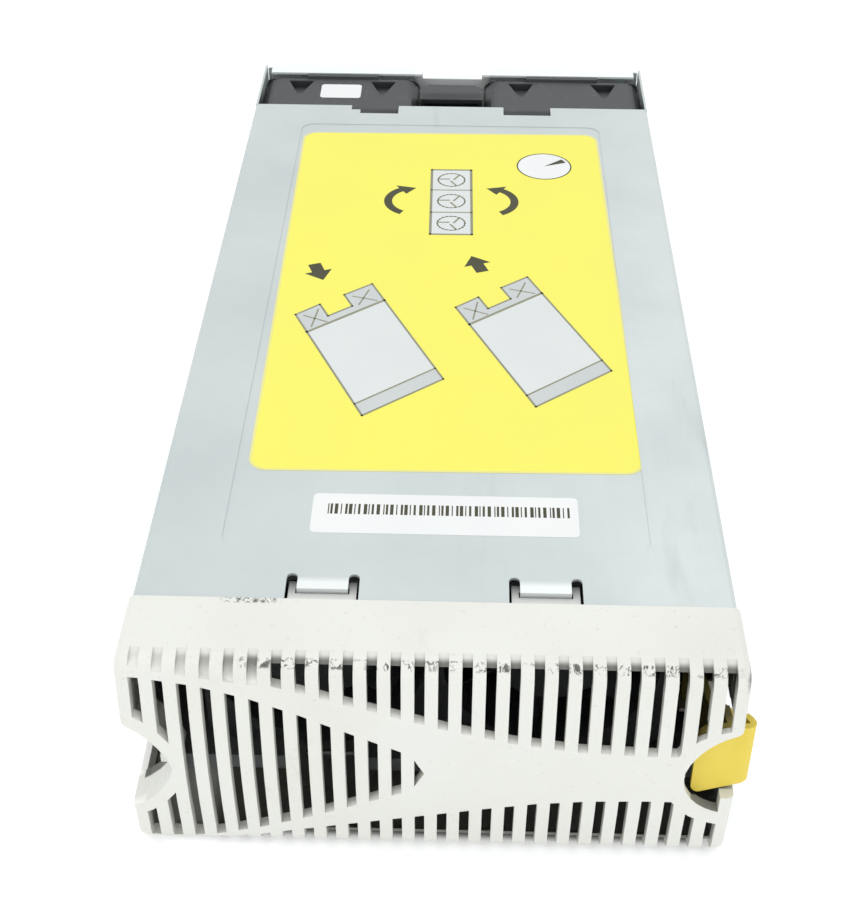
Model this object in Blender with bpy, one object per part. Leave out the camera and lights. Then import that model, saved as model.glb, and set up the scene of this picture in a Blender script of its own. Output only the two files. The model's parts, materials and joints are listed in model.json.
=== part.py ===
"""Switch fan tray: a sheet-metal drawer with a slotted front bezel, a sprung
release latch, two axial fans behind the bezel and two more at the rear.

Metres, +Z up. The front faces -Y and the rear connector faces +Y. The world
origin is the middle of the pan's underside. Every piece is drawn in the tray's
own frame, which is parented to one empty: y = 0 at the bezel's rear rim, where
the pan and the cover begin, and z = 0 at mid height.
"""

from math import acos, asin, atan, atan2, cos, hypot, pi, radians, sin, sqrt

import bmesh
import bpy
from mathutils import Matrix, Vector

MM = 0.001

# Driving dimensions
TRAY_WIDTH = 171.6 * MM
TRAY_HEIGHT = 73.0 * MM
BODY_LENGTH = 357.2 * MM      # bezel rim to the rear panel's outer face
COVER_LENGTH = 316.1 * MM
COVER_FLANGE = 12.7 * MM      # depth of the cover's bent-down sides
SHEET = 1.0 * MM
BEND = 1.5 * MM
GAP = 0.3 * MM                # clearance between neighbouring pieces

BEZEL_DEPTH = 29.5 * MM
BEZEL_PROUD = 0.8 * MM        # bezel stands this far outside the sheet metal
BEZEL_WALL = 2.6 * MM
BEZEL_FRONT_WALL = 3.4 * MM
BEZEL_SIDE_WALL = 4.0 * MM
BEZEL_SET_BACK = 2.1 * MM     # the crown's ends lie this far behind its middle
BEZEL_CORNER = 5.6 * MM       # rounding from the top face to the front face
BEZEL_CROWN = 212.5 * MM      # radius of the slightly bowed front face
BEZEL_EDGE = 2.0 * MM
SLOT_COUNT = 26
SLOT_PITCH = 6.5 * MM
SLOT_WIDTH = 2.85 * MM
SLOT_SHIFT = 0.1 * MM         # the whole bank of slots sits this far to the right

GRILLE_LEVEL = -2.2 * MM      # height of the notches and of the solid band's middle
WINDOW_LEVEL = -1.8 * MM      # height of the line that the slotted wedge mirrors about
C_NOTCH_LEVEL = -1.4 * MM
C_NOTCH_RADIUS = 15.1 * MM
C_FLARE_X, C_FLARE_LEVEL = 92.4 * MM, -4.0 * MM
C_FLARE_RADIUS = 21.4 * MM    # the notch's upper edge opens out along this wider arc
C_RING_RADIUS = 20.1 * MM     # outside of the solid ring round the C notch
V_ARC_RADIUS = 26.0 * MM      # both jaws of the V notch are arcs
V_ARC_OUT = 12.0 * MM         # their centres lie this far outside the bezel
V_ARC_PAST = 5.4 * MM         # and this far past the grille's level
V_BAND_RADIUS = 29.2 * MM     # outside of the solid band round the V notch
V_BAND_PAST = 4.0 * MM
V_SIDE_HALF = 17.5 * MM       # half height of the opening in the left side wall
JAW_REAR = -15.7 * MM
JAW_THICKNESS = 2.0 * MM

TAB_OFFSET = 31.95 * MM       # snap tabs on either side of the middle
TAB_OPENING = 21.1 * MM
TAB_RELIEF = 3.2 * MM
TAB_RELIEF_LENGTH = 11.5 * MM
TAB_SETBACK = 5.1 * MM

FAN_SIZE = 70.0 * MM
FAN_DEPTH = 38.0 * MM
FAN_CORNER = 6.5 * MM
FAN_BORE = 33.0 * MM
FAN_HOLE_SPACING = 61.4 * MM
HUB_RADIUS = 18.5 * MM
BLADES = 7
FRONT_FAN_X = 35.75 * MM
FRONT_FAN_Y = 12.7 * MM
REAR_FAN_X = 49.5 * MM
REAR_FAN_Y = 307.7 * MM

PIVOT_X = 78.5 * MM
PIVOT_Y = 10.2 * MM
LEVER_LOW = -11.1 * MM
LEVER_HIGH = 15.8 * MM
LEVER_ARM_LOW = -8.6 * MM
LEVER_ARM_HIGH = 5.0 * MM     # the arm steps down to this behind the finger plate
LEVER_BARREL_HIGH = 1.2 * MM
LEVER_SHEET = 2.0 * MM
PIN_RADIUS = 1.5 * MM
EAR_THICKNESS = 1.3 * MM
SPRING_LOW, SPRING_HIGH = 2.6 * MM, 8.4 * MM
LATCH_POCKET_Y = -26.9 * MM   # the bezel's front wall is relieved to here beside the lever
LATCH_SIDE_LOW, LATCH_SIDE_HIGH = -9.5 * MM, 22.5 * MM

# Worked-out values
HALF_WIDTH = TRAY_WIDTH / 2
HALF_HEIGHT = TRAY_HEIGHT / 2
INNER_HALF_WIDTH = HALF_WIDTH - SHEET
INNER_HALF_HEIGHT = HALF_HEIGHT - SHEET
BEZEL_HALF_WIDTH = HALF_WIDTH + BEZEL_PROUD
BEZEL_HALF_HEIGHT = HALF_HEIGHT + BEZEL_PROUD
TRAY_LENGTH = BODY_LENGTH + BEZEL_DEPTH
SEAT_Y = BEZEL_DEPTH - TRAY_LENGTH / 2
HOLE_OFFSET = FAN_HOLE_SPACING / 2
FRONT_BRACKET_Y = FRONT_FAN_Y + FAN_DEPTH + GAP
REAR_BRACKET_Y = REAR_FAN_Y - GAP - SHEET
GUARD_Y = REAR_FAN_Y + FAN_DEPTH + GAP
GUARD_THICKNESS = 2.6 * MM
PANEL_Y = BODY_LENGTH - SHEET
EAR_LOW = LEVER_ARM_LOW - GAP
EAR_HIGH = SPRING_HIGH + 1.3 * MM
CORNERS = ((1, 1), (-1, 1), (-1, -1), (1, -1))


# Materials
def principled(name, colour, roughness, metallic=0.0):
    material = bpy.data.materials.new(name)
    material.use_nodes = True
    shader = material.node_tree.nodes["Principled BSDF"]
    shader.inputs["Base Color"].default_value = (*colour, 1.0)
    shader.inputs["Roughness"].default_value = roughness
    shader.inputs["Metallic"].default_value = metallic
    material.diffuse_color = (*colour, 1.0)
    return material


def make_materials():
    return {
        "sheet": principled("galvanised_sheet", (0.66, 0.70, 0.69), 0.45, 0.6),
        "bezel": principled("cream_plastic", (0.82, 0.80, 0.74), 0.5),
        "lever": principled("yellow_plastic", (0.86, 0.66, 0.13), 0.45),
        "fan": principled("black_plastic", (0.035, 0.037, 0.040), 0.5),
        "steel": principled("zinc_steel", (0.62, 0.62, 0.60), 0.35, 0.9),
        "lead": principled("black_sleeve", (0.03, 0.03, 0.03), 0.6),
        "nylon": principled("white_nylon", (0.80, 0.79, 0.75), 0.5),
    }


# Shape helpers
def solid(name, bm):
    """Turn a bmesh into a linked object whose faces point outwards."""
    bmesh.ops.recalc_face_normals(bm, faces=bm.faces)
    mesh = bpy.data.meshes.new(name)
    bm.to_mesh(mesh)
    bm.free()
    body = bpy.data.objects.new(name, mesh)
    bpy.context.scene.collection.objects.link(body)
    return body


def box(name, low, high):
    bm = bmesh.new()
    bmesh.ops.create_cube(bm, size=1.0)
    size = Vector(high) - Vector(low)
    middle = (Vector(high) + Vector(low)) / 2
    bm.transform(Matrix.Translation(middle) @ Matrix.Diagonal((*size, 1.0)))
    return solid(name, bm)


def prism(name, outline, axis, low, high):
    """Extrude a closed outline along an axis: its points are the other two axes."""
    def place(point, along):
        first, second = point
        if axis == "X":
            return (along, first, second)
        if axis == "Y":
            return (first, along, second)
        return (first, second, along)

    bm = bmesh.new()
    ring = [bm.verts.new(place(point, low)) for point in outline]
    face = bm.faces.new(ring)
    push = Vector(place((0.0, 0.0), high - low))
    result = bmesh.ops.extrude_face_region(bm, geom=[face])
    moved = [item for item in result["geom"] if isinstance(item, bmesh.types.BMVert)]
    bmesh.ops.translate(bm, verts=moved, vec=push)
    return solid(name, bm)


def cylinder(name, centre, radius, axis, low, high, segments=24):
    outline = arc(centre, radius, 0.0, 2 * pi, segments)[:-1]
    return prism(name, outline, axis, low, high)


def arc(centre, radius, start, end, steps):
    """Points along a circular arc, both ends included."""
    turn = (end - start) / steps
    return [
        (centre[0] + radius * cos(start + turn * i), centre[1] + radius * sin(start + turn * i))
        for i in range(steps + 1)
    ]


def rounded_rectangle(half_x, half_z, radius, steps=3, centre=(0.0, 0.0)):
    outline = []
    for quarter, (sx, sz) in enumerate(CORNERS):
        middle = (centre[0] + sx * (half_x - radius), centre[1] + sz * (half_z - radius))
        outline += arc(middle, radius, quarter * pi / 2, (quarter + 1) * pi / 2, steps)
    return outline


def tube(name, points, radius, sides=2):
    """A round wire along hand-placed points, closed at both ends."""
    curve = bpy.data.curves.new(name, "CURVE")
    curve.dimensions = "3D"
    curve.bevel_depth = radius
    curve.bevel_resolution = sides
    curve.use_fill_caps = True
    spline = curve.splines.new("POLY")
    spline.points.add(len(points) - 1)
    for place, point in zip(spline.points, points):
        place.co = (*point, 1.0)
    wire = bpy.data.objects.new(name, curve)
    bpy.context.scene.collection.objects.link(wire)
    return wire


def smooth_route(points, spacing):
    """Read evenly spaced points from a smooth curve through a few route points."""
    knots = [Vector(point) for point in points]
    knots = [2 * knots[0] - knots[1], *knots, 2 * knots[-1] - knots[-2]]
    route = []
    for before, start, end, after in zip(knots, knots[1:], knots[2:], knots[3:]):
        steps = max(2, round((end - start).length / spacing))
        for step in range(steps):
            t = step / steps
            route.append(0.5 * (
                2 * start
                + (end - before) * t
                + (2 * before - 5 * start + 4 * end - after) * t ** 2
                + (3 * start - before - 3 * end + after) * t ** 3
            ))
    route.append(knots[-2])
    return route


def combine(target, tools, operation, keep=False):
    """Add or cut tools with exact booleans, then drop the tools unless they are kept."""
    for tool in tools:
        step = target.modifiers.new(tool.name, "BOOLEAN")
        step.operation = operation
        step.solver = "EXACT"
        step.object = tool
    depsgraph = bpy.context.evaluated_depsgraph_get()
    result = bpy.data.meshes.new_from_object(target.evaluated_get(depsgraph))
    target.modifiers.clear()
    target.data = result
    if not keep:
        for tool in tools:
            bpy.data.objects.remove(tool)
    return target


def add(target, *tools):
    return combine(target, tools, "UNION")


def cut(target, *tools):
    return combine(target, tools, "DIFFERENCE")


def cut_keeping(target, *tools):
    return combine(target, tools, "DIFFERENCE", keep=True)


def finish(body, name, material, parent, smooth=None):
    """Name a finished piece, give it its material and hang it on its parent."""
    body.name = name
    body.data.name = name
    body.data.materials.clear()
    body.data.materials.append(material)
    if smooth is not None and body.type == "MESH":
        body.data.shade_smooth()
        body.data.set_sharp_from_angle(angle=radians(smooth))
    body.parent = parent
    return body


def place_copy(original, name, parent, location, rotation=(0.0, 0.0, 0.0)):
    """Another piece that shares the first one's mesh."""
    copy = bpy.data.objects.new(name, original.data)
    bpy.context.scene.collection.objects.link(copy)
    copy.parent = parent
    copy.location = location
    copy.rotation_euler = rotation
    return copy


# Sheet metal
def tab_cutters(z_low, z_high):
    """Openings at a sheet's front edge that leave a snap tab between two reliefs."""
    cutters = []
    tab_half = TAB_OPENING / 2 - TAB_RELIEF
    for side in (-1, 1):
        middle = side * TAB_OFFSET
        mouth_low = (middle - TAB_OPENING / 2, -SHEET, z_low)
        mouth_high = (middle + TAB_OPENING / 2, TAB_SETBACK, z_high)
        cutters.append(box("mouth", mouth_low, mouth_high))
        for end in (-1, 1):
            centre_x = middle + end * (tab_half + TAB_RELIEF / 2)
            radius = TAB_RELIEF / 2
            centre = (centre_x, TAB_RELIEF_LENGTH - radius)
            outline = [(centre_x + radius, 0.0), *arc(centre, radius, 0.0, pi, 6), (centre_x - radius, 0.0)]
            cutters.append(prism("relief", outline, "Z", z_low, z_high))
    return cutters


def tab_curls(direction):
    """The bent-over ends of the two snap tabs; direction is +1 under the cover."""
    curl_drop = 2.5 * MM
    half = TAB_OPENING / 2 - TAB_RELIEF
    outer = direction * (INNER_HALF_HEIGHT + SHEET / 2)
    inner = direction * (INNER_HALF_HEIGHT - curl_drop)
    curls = []
    for side in (-1, 1):
        middle = side * TAB_OFFSET
        low = (middle - half, TAB_SETBACK, min(outer, inner))
        high = (middle + half, TAB_SETBACK + SHEET, max(outer, inner))
        curls.append(box("curl", low, high))
    return curls


def cover_section(flange_bottom):
    """Inverted channel: a flat top with bent-down sides."""
    inner_bend = BEND - SHEET
    left = [(-HALF_WIDTH, flange_bottom)]
    left += arc((-HALF_WIDTH + BEND, HALF_HEIGHT - BEND), BEND, pi, pi / 2, 3)
    right = [(-x, z) for x, z in reversed(left)]
    inside_right = [(INNER_HALF_WIDTH, flange_bottom)]
    corner = (INNER_HALF_WIDTH - inner_bend, INNER_HALF_HEIGHT - inner_bend)
    inside_right += arc(corner, inner_bend, 0.0, pi / 2, 2)
    inside_left = [(-x, z) for x, z in reversed(inside_right)]
    return left + right + inside_right + inside_left


def make_cover(kit, tray):
    flange_bottom = HALF_HEIGHT - COVER_FLANGE
    cover = prism("cover", cover_section(flange_bottom), "Y", GAP, COVER_LENGTH)
    notch_near, notch_far, notch_depth = 22.9 * MM, 43.4 * MM, 7.5 * MM
    tongue_x, tongue_depth = 39.5 * MM, 4.0 * MM
    rear_notches = [
        box("notch", (low_x, COVER_LENGTH - depth, 0.0), (high_x, COVER_LENGTH + SHEET, HALF_HEIGHT + SHEET))
        for low_x, high_x, depth in (
            (-notch_far, -tongue_x + SHEET / 10, tongue_depth),
            (-tongue_x, -notch_near, notch_depth),
            (notch_near, notch_far, notch_depth),
        )
    ]
    recess_depth = 0.3 * MM
    recess_half_width = 63.5 * MM
    recess_front, recess_rear = 22.3 * MM, 298.0 * MM
    recess_outline = rounded_rectangle(
        recess_half_width, (recess_rear - recess_front) / 2, 5.0 * MM,
        centre=(0.0, (recess_front + recess_rear) / 2))
    recess = prism("recess", recess_outline, "Z", HALF_HEIGHT - recess_depth, HALF_HEIGHT + SHEET)
    cut(cover, recess, *rear_notches, *tab_cutters(0.0, HALF_HEIGHT + SHEET))
    add(cover, *tab_curls(1))
    cut(cover, *side_holes(COVER_SCREWS))
    return finish(cover, "top_cover", kit["sheet"], tray, smooth=30)


def pan_section(joggled, wall_top):
    """Channel with bent-up sides; the joggled stretch tucks under the cover's flanges."""
    flange_bottom = HALF_HEIGHT - COVER_FLANGE
    step = SHEET + GAP
    outer = [(HALF_WIDTH, wall_top)]
    inner = [(INNER_HALF_WIDTH, wall_top)]
    if joggled:
        outer = [
            (HALF_WIDTH - step, wall_top),
            (HALF_WIDTH - step, flange_bottom - GAP),
            (HALF_WIDTH, flange_bottom - GAP),
        ]
        inner = [
            (INNER_HALF_WIDTH - step, wall_top),
            (INNER_HALF_WIDTH - step, flange_bottom - GAP - SHEET),
            (INNER_HALF_WIDTH, flange_bottom - GAP - SHEET),
        ]
    inner_bend = BEND - SHEET
    outer += arc((HALF_WIDTH - BEND, -HALF_HEIGHT + BEND), BEND, 0.0, -pi / 2, 3)
    corner = (INNER_HALF_WIDTH - inner_bend, -INNER_HALF_HEIGHT + inner_bend)
    inner += arc(corner, inner_bend, 0.0, -pi / 2, 2)
    right = outer
    left = [(-x, z) for x, z in reversed(outer)]
    inside_left = [(-x, z) for x, z in inner]
    inside_right = list(reversed(inner))
    return right + left + inside_left + inside_right


def make_pan(kit, tray):
    """Bent sheet: joggled under the cover, plain behind it, with taller walls at the rear fans."""
    joggle_end = 304.0 * MM
    tall_from = COVER_LENGTH + GAP
    low_top = HALF_HEIGHT - COVER_FLANGE - GAP
    pan = prism("pan", pan_section(True, INNER_HALF_HEIGHT - GAP), "Y", GAP, joggle_end)
    plain = prism("plain", pan_section(False, low_top), "Y", joggle_end - SHEET / 2, BODY_LENGTH)
    walls = []
    for side in (-1, 1):
        near, far = sorted((side * INNER_HALF_WIDTH, side * HALF_WIDTH))
        walls.append(box("wall", (near, tall_from, 0.0), (far, BODY_LENGTH, HALF_HEIGHT - GAP)))
    add(pan, plain, *walls)
    cut(pan, *tab_cutters(-HALF_HEIGHT - SHEET, 0.0))
    add(pan, *tab_curls(-1))
    cut(pan, *side_holes(COVER_SCREWS), *side_holes(PANEL_SCREWS))
    return finish(pan, "chassis_pan", kit["sheet"], tray, smooth=30)


def make_rear_panel(kit, tray):
    """Rear wall with fan outlets, flanged forward at the top and along both sides."""
    half = INNER_HALF_WIDTH - GAP
    low = -INNER_HALF_HEIGHT + GAP
    top_half = 82.3 * MM
    flange_y = GUARD_Y + GUARD_THICKNESS + GAP
    section = [
        (PANEL_Y, low), (BODY_LENGTH, low), (BODY_LENGTH, HALF_HEIGHT), (flange_y, HALF_HEIGHT),
        (flange_y, INNER_HALF_HEIGHT), (PANEL_Y, INNER_HALF_HEIGHT),
    ]
    panel = prism("panel", section, "X", -half, half)
    side_depth = 7.4 * MM
    side_half = 28.0 * MM
    sides = []
    corners = []
    for side in (-1, 1):
        faces = sorted((side * (half - SHEET), side * half))
        sides.append(box("side", (faces[0], BODY_LENGTH - side_depth, -side_half),
                         (faces[1], BODY_LENGTH - SHEET / 2, side_half)))
        faces = sorted((side * top_half, side * (half + SHEET)))
        corners.append(box("corner", (faces[0], 0.0, INNER_HALF_HEIGHT - GAP),
                           (faces[1], BODY_LENGTH + SHEET, HALF_HEIGHT + SHEET)))
    add(panel, *sides)
    cut(panel, *corners)
    outlets = [
        cylinder("outlet", (side * REAR_FAN_X, 0.0), FAN_BORE, "Y",
                 PANEL_Y - SHEET, BODY_LENGTH + SHEET, 36)
        for side in (-1, 1)
    ]
    notch_half, notch_low = 13.6 * MM, 31.0 * MM
    notch = box("notch", (-notch_half, 0.0, notch_low),
                (notch_half, BODY_LENGTH + SHEET, HALF_HEIGHT + SHEET))
    port_half = PLUG_HALF_WIDTH + GAP
    port_height = PLUG_HALF_HEIGHT + GAP
    port = box("port", (-port_half, PANEL_Y - SHEET, -port_height),
               (port_half, BODY_LENGTH + SHEET, port_height))
    cut(panel, *outlets, notch, port, *side_holes(PANEL_SCREWS))
    return finish(panel, "rear_panel", kit["sheet"], tray, smooth=30)


def make_fan_bracket(kit, tray, name, wall_y, flange_to, fan_x, cable_pass):
    """Cross plate that carries a pair of fans, flanged onto the floor and the cover."""
    half = HALF_WIDTH - 2 * SHEET - 2 * GAP
    height = INNER_HALF_HEIGHT - GAP
    bracket = box("plate", (-half, wall_y, -height), (half, wall_y + SHEET, height))
    flange_y = sorted((wall_y + SHEET / 2, flange_to))
    flanges = [
        box("flange",
            (-half, flange_y[0], min(side * height, side * (height - SHEET))),
            (half, flange_y[1], max(side * height, side * (height - SHEET))))
        for side in (-1, 1)
    ]
    add(bracket, *flanges)
    tools = []
    for side in (-1, 1):
        centre = (side * fan_x, 0.0)
        tools.append(cylinder("opening", centre, FAN_BORE, "Y", wall_y - SHEET, wall_y + 2 * SHEET, 28))
        for sx, sz in CORNERS:
            hole = (centre[0] + sx * HOLE_OFFSET, sz * HOLE_OFFSET)
            tools.append(cylinder("hole", hole, SCREW_HOLE, "Y", wall_y - SHEET, wall_y + 2 * SHEET, 8))
    if cable_pass:
        pass_half, pass_high = 8.5 * MM, 8.0 * MM
        tools.append(box("pass", (-pass_half, flange_y[0] - SHEET, -height - SHEET),
                         (pass_half, flange_y[1] + 2 * SHEET, -height + pass_high)))
    cut(bracket, *tools)
    return finish(bracket, name, kit["sheet"], tray, smooth=30)


# Screws
SCREW_SHANK = 1.7 * MM
SCREW_HOLE = 2.1 * MM
COVER_SCREWS = [(60.0 * MM, 29.5 * MM), (260.0 * MM, 29.5 * MM)]
PANEL_SCREWS = [(352.6 * MM, -18.0 * MM), (352.6 * MM, 18.0 * MM)]


def side_holes(places):
    """Clearance holes through both sides, for screws driven along X."""
    return [
        cylinder("hole", (y, z), SCREW_HOLE, "X",
                 min(side * 80.0 * MM, side * 90.0 * MM), max(side * 80.0 * MM, side * 90.0 * MM), 8)
        for side in (-1, 1) for y, z in places
    ]


def screw_body(name, shank_length, head_radius, head_height, kit):
    """Pan-head screw: the head's underside is at the origin and the shank runs to -Y."""
    cap = 0.35 * MM
    profile = [
        (0.0, -shank_length), (SCREW_SHANK, -shank_length), (SCREW_SHANK, 0.0),
        (head_radius, 0.0), (head_radius, head_height - cap), (head_radius - 2 * cap, head_height),
        (0.0, head_height),
    ]
    body = turned(name, profile, 8)
    body.data.materials.append(kit["steel"])
    body.data.shade_smooth()
    body.data.set_sharp_from_angle(angle=radians(30))
    return body


def turned(name, profile, segments):
    """Turn a profile of (radius, y) points about the Y axis."""
    bm = bmesh.new()
    rings = []
    for radius, y in profile:
        if radius == 0.0:
            rings.append([bm.verts.new((0.0, y, 0.0))])
            continue
        angles = [2 * pi * i / segments for i in range(segments)]
        rings.append([bm.verts.new((radius * cos(a), y, radius * sin(a))) for a in angles])
    for lower, upper in zip(rings, rings[1:]):
        for i in range(segments):
            j = (i + 1) % segments
            corners = [lower[i % len(lower)], lower[j % len(lower)],
                       upper[j % len(upper)], upper[i % len(upper)]]
            bm.faces.new(list(dict.fromkeys(corners)))
    return solid(name, bm)


def make_screws(kit, tray):
    fan_screw = screw_body("fan_screw", 6.0 * MM, 3.4 * MM, 2.0 * MM, kit)
    side_screw = screw_body("side_screw", 2.6 * MM, 2.8 * MM, 0.75 * MM, kit)
    originals = [fan_screw, side_screw]
    sides = (("left", -1), ("right", 1))
    diagonals = (("lower", -1), ("upper", 1))

    for row, fan_x, head_y, spin in (
        ("front", FRONT_FAN_X, FRONT_BRACKET_Y + SHEET + GAP, 0.0),
        ("rear", REAR_FAN_X, REAR_BRACKET_Y - GAP, pi),
    ):
        for side_name, side in sides:
            for level, sign in diagonals:
                place = (side * fan_x + sign * HOLE_OFFSET, head_y, sign * HOLE_OFFSET)
                name = f"{row}_{side_name}_fan_screw_{level}"
                place_copy(fan_screw, name, tray, place, (0.0, 0.0, spin))

    for side_name, side in sides:
        for number, (sx, sz) in enumerate(CORNERS, start=1):
            head_y = GUARD_Y + GUARD_THICKNESS + GAP
            place = (side * REAR_FAN_X + sx * HOLE_OFFSET, head_y, sz * HOLE_OFFSET)
            place_copy(fan_screw, f"{side_name}_guard_screw_{number}", tray, place)

    for label, places in (("cover", COVER_SCREWS), ("rear_panel", PANEL_SCREWS)):
        for side_name, side in sides:
            for number, (y, z) in enumerate(places, start=1):
                # the shank's -Y direction turns to point inwards
                place_copy(side_screw, f"{label}_screw_{side_name}_{number}", tray,
                           (side * (HALF_WIDTH + GAP / 2), y, z), (0.0, 0.0, -side * pi / 2))
    for original in originals:
        bpy.data.objects.remove(original)


# Bezel
def bezel_profile(inset, push):
    """Side view of the bezel as (y, z), from the top rear corner down to the bottom one.

    The inner side is the same outline moved in by the inset and back by the push.
    """
    corner = (-BEZEL_DEPTH + BEZEL_SET_BACK + BEZEL_CORNER + push, BEZEL_HALF_HEIGHT - BEZEL_CORNER)
    crown_centre = BEZEL_CROWN - BEZEL_DEPTH + push
    lean = asin(corner[1] / BEZEL_CROWN)
    top = arc(corner, BEZEL_CORNER - inset, pi / 2, pi - lean, 4)
    rows = 5
    radius = BEZEL_CROWN - inset
    reach = 0.94 * lean
    spread = [reach * (1 - 2 * i / rows) for i in range(rows + 1)]
    crown = [(crown_centre - radius * cos(a), radius * sin(a)) for a in spread]
    bottom = [(y, -z) for y, z in reversed(top)]
    return top + crown + bottom


def outer_edge(x, flat, slope):
    """Distance of the solid band's outer edge from mid height: flat, then curving into a slope."""
    flat_x, radius = 61.0 * MM, 198.0 * MM
    if x >= flat_x:
        return flat
    angle = atan(slope)
    start_x = flat_x - radius * sin(angle)
    if x >= start_x:
        return flat + radius - sqrt(radius ** 2 - (flat_x - x) ** 2)
    return flat + radius * (1 - cos(angle)) + slope * (start_x - x)


def upper_edge(x):
    return outer_edge(x, 7.4 * MM, 0.30)


def lower_edge(x):
    return -outer_edge(x, 11.8 * MM, 0.235)


def inner_edge(x):
    """Half height of the slotted wedge: two straight arms that open out to the left."""
    root_x, bend_x, slope, radius = 10.7 * MM, -36.0 * MM, 0.465, 143.0 * MM
    if x >= bend_x:
        return slope * (root_x - x)
    start = atan(slope)
    now = asin(sin(start) - (bend_x - x) / radius)
    return slope * (root_x - bend_x) + radius * (cos(now) - cos(start))


def band_outline(left_near, left_far):
    """Solid bow-tie band that crosses the grille, as (x, z) around its outside.

    Left of the last open slot of the top row its upper edge runs at its own heights.
    """
    far = BEZEL_HALF_WIDTH + 3.0 * MM
    last_open = -45.5 * MM
    top = [(-far, left_far), (last_open, left_near)]
    top += [(x * MM, upper_edge(x * MM)) for x in (-45.0, 4.0, 23.0, 42.0, 61.0)]
    centre = (BEZEL_HALF_WIDTH, GRILLE_LEVEL)
    upper_meet = asin((upper_edge(far) - GRILLE_LEVEL) / C_RING_RADIUS)
    lower_meet = asin((GRILLE_LEVEL - lower_edge(far)) / C_RING_RADIUS)
    top += arc(centre, C_RING_RADIUS, pi - upper_meet, pi / 2, 5)
    top.append((far, GRILLE_LEVEL + C_RING_RADIUS))
    bottom = [(far, GRILLE_LEVEL - C_RING_RADIUS)]
    bottom += arc(centre, C_RING_RADIUS, 3 * pi / 2, pi + lower_meet, 5)
    bottom += [(x * MM, lower_edge(x * MM)) for x in (61.0, 45.5, 30.0, 14.5)]
    bottom.append((-far, lower_edge(-far)))
    return top + bottom


def window_outline():
    """Slotted wedge inside the band, with a blunt point at its right end."""
    far = BEZEL_HALF_WIDTH + 4.0 * MM
    tip_x, shoulder_x, shoulder_half = -1.7 * MM, -4.55 * MM, 5.6 * MM
    stations = [-8.0 * MM, -36.0 * MM, -50.0 * MM, -65.0 * MM, -80.0 * MM, -far]
    arm = [(shoulder_x, shoulder_half)] + [(x, inner_edge(x)) for x in stations]
    top = [(x, WINDOW_LEVEL + half) for x, half in arm]
    bottom = [(x, WINDOW_LEVEL - half) for x, half in reversed(arm)]
    return [(tip_x, WINDOW_LEVEL)] + top + bottom


def v_outline(radius, past):
    """Two arcs that meet in a point: the V notch in the left edge, or the band round it."""
    outside = 4.0 * MM
    centre_x = -BEZEL_HALF_WIDTH - V_ARC_OUT
    start = acos((V_ARC_OUT - outside) / radius)
    end = asin(past / radius)
    upper = arc((centre_x, GRILLE_LEVEL - past), radius, start, end, 6)
    lower = [(x, 2 * GRILLE_LEVEL - z) for x, z in reversed(upper[:-1])]
    return upper + lower


def slot_places():
    """Left and right edges of every slot."""
    middles = [(number - (SLOT_COUNT - 1) / 2) * SLOT_PITCH + SLOT_SHIFT for number in range(SLOT_COUNT)]
    return [(x - SLOT_WIDTH / 2, x + SLOT_WIDTH / 2) for x in middles]


def bank_of(name, outline):
    """One cutter made of an upright plate for each slot, with a side outline of (y, z) points."""
    bm = bmesh.new()
    for edges in slot_places():
        near, far = [[bm.verts.new((x, y, z)) for y, z in outline] for x in edges]
        bm.faces.new(near)
        bm.faces.new(far)
        for i in range(len(outline)):
            j = (i + 1) % len(outline)
            bm.faces.new((near[i], near[j], far[j], far[i]))
    return solid(name, bm)


def slot_bank():
    low, high = -BEZEL_DEPTH - 2.0 * MM, -BEZEL_DEPTH + 9.0 * MM
    top = BEZEL_HALF_HEIGHT - BEZEL_WALL - 0.05 * MM
    bottom = -BEZEL_HALF_HEIGHT + 4.1 * MM
    return bank_of("slots", [(low, bottom), (high, bottom), (high, top), (low, top)])


def groove_bank(sign):
    """Shallow ramps where the slots fade out over the rounded top or bottom edge."""
    crown_end = -BEZEL_DEPTH + BEZEL_SET_BACK
    start = (crown_end + BEZEL_CORNER + 1.6 * MM, BEZEL_HALF_HEIGHT)
    end = (crown_end, BEZEL_HALF_HEIGHT - 6.8 * MM)
    away = -BEZEL_DEPTH - 2.0 * MM
    outline = [start, end, (away, end[1]), (away, start[1] + SHEET), (start[0], start[1] + SHEET)]
    return bank_of("grooves", [(y, sign * z) for y, z in outline])


def solid_band(left_near, left_far):
    """What the slots or grooves must spare: the bow-tie band and the band round the V."""
    front, rear = -BEZEL_DEPTH - 4.0 * MM, 5.0 * MM
    band = prism("band", band_outline(left_near, left_far), "Y", front, rear)
    cut(band, prism("window", window_outline(), "Y", front - SHEET, rear + SHEET))
    return add(band, prism("v_band", v_outline(V_BAND_RADIUS, V_BAND_PAST), "Y", front, rear))


def cut_grille(bezel):
    above = BEZEL_HALF_HEIGHT + 3.0 * MM
    slots = cut(slot_bank(), solid_band(above, above))
    spared = solid_band(30.0 * MM, 36.5 * MM)
    grooves = [cut_keeping(groove_bank(sign), spared) for sign in (1, -1)]
    bpy.data.objects.remove(spared)
    cut(bezel, slots)
    cut(bezel, *grooves)


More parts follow.
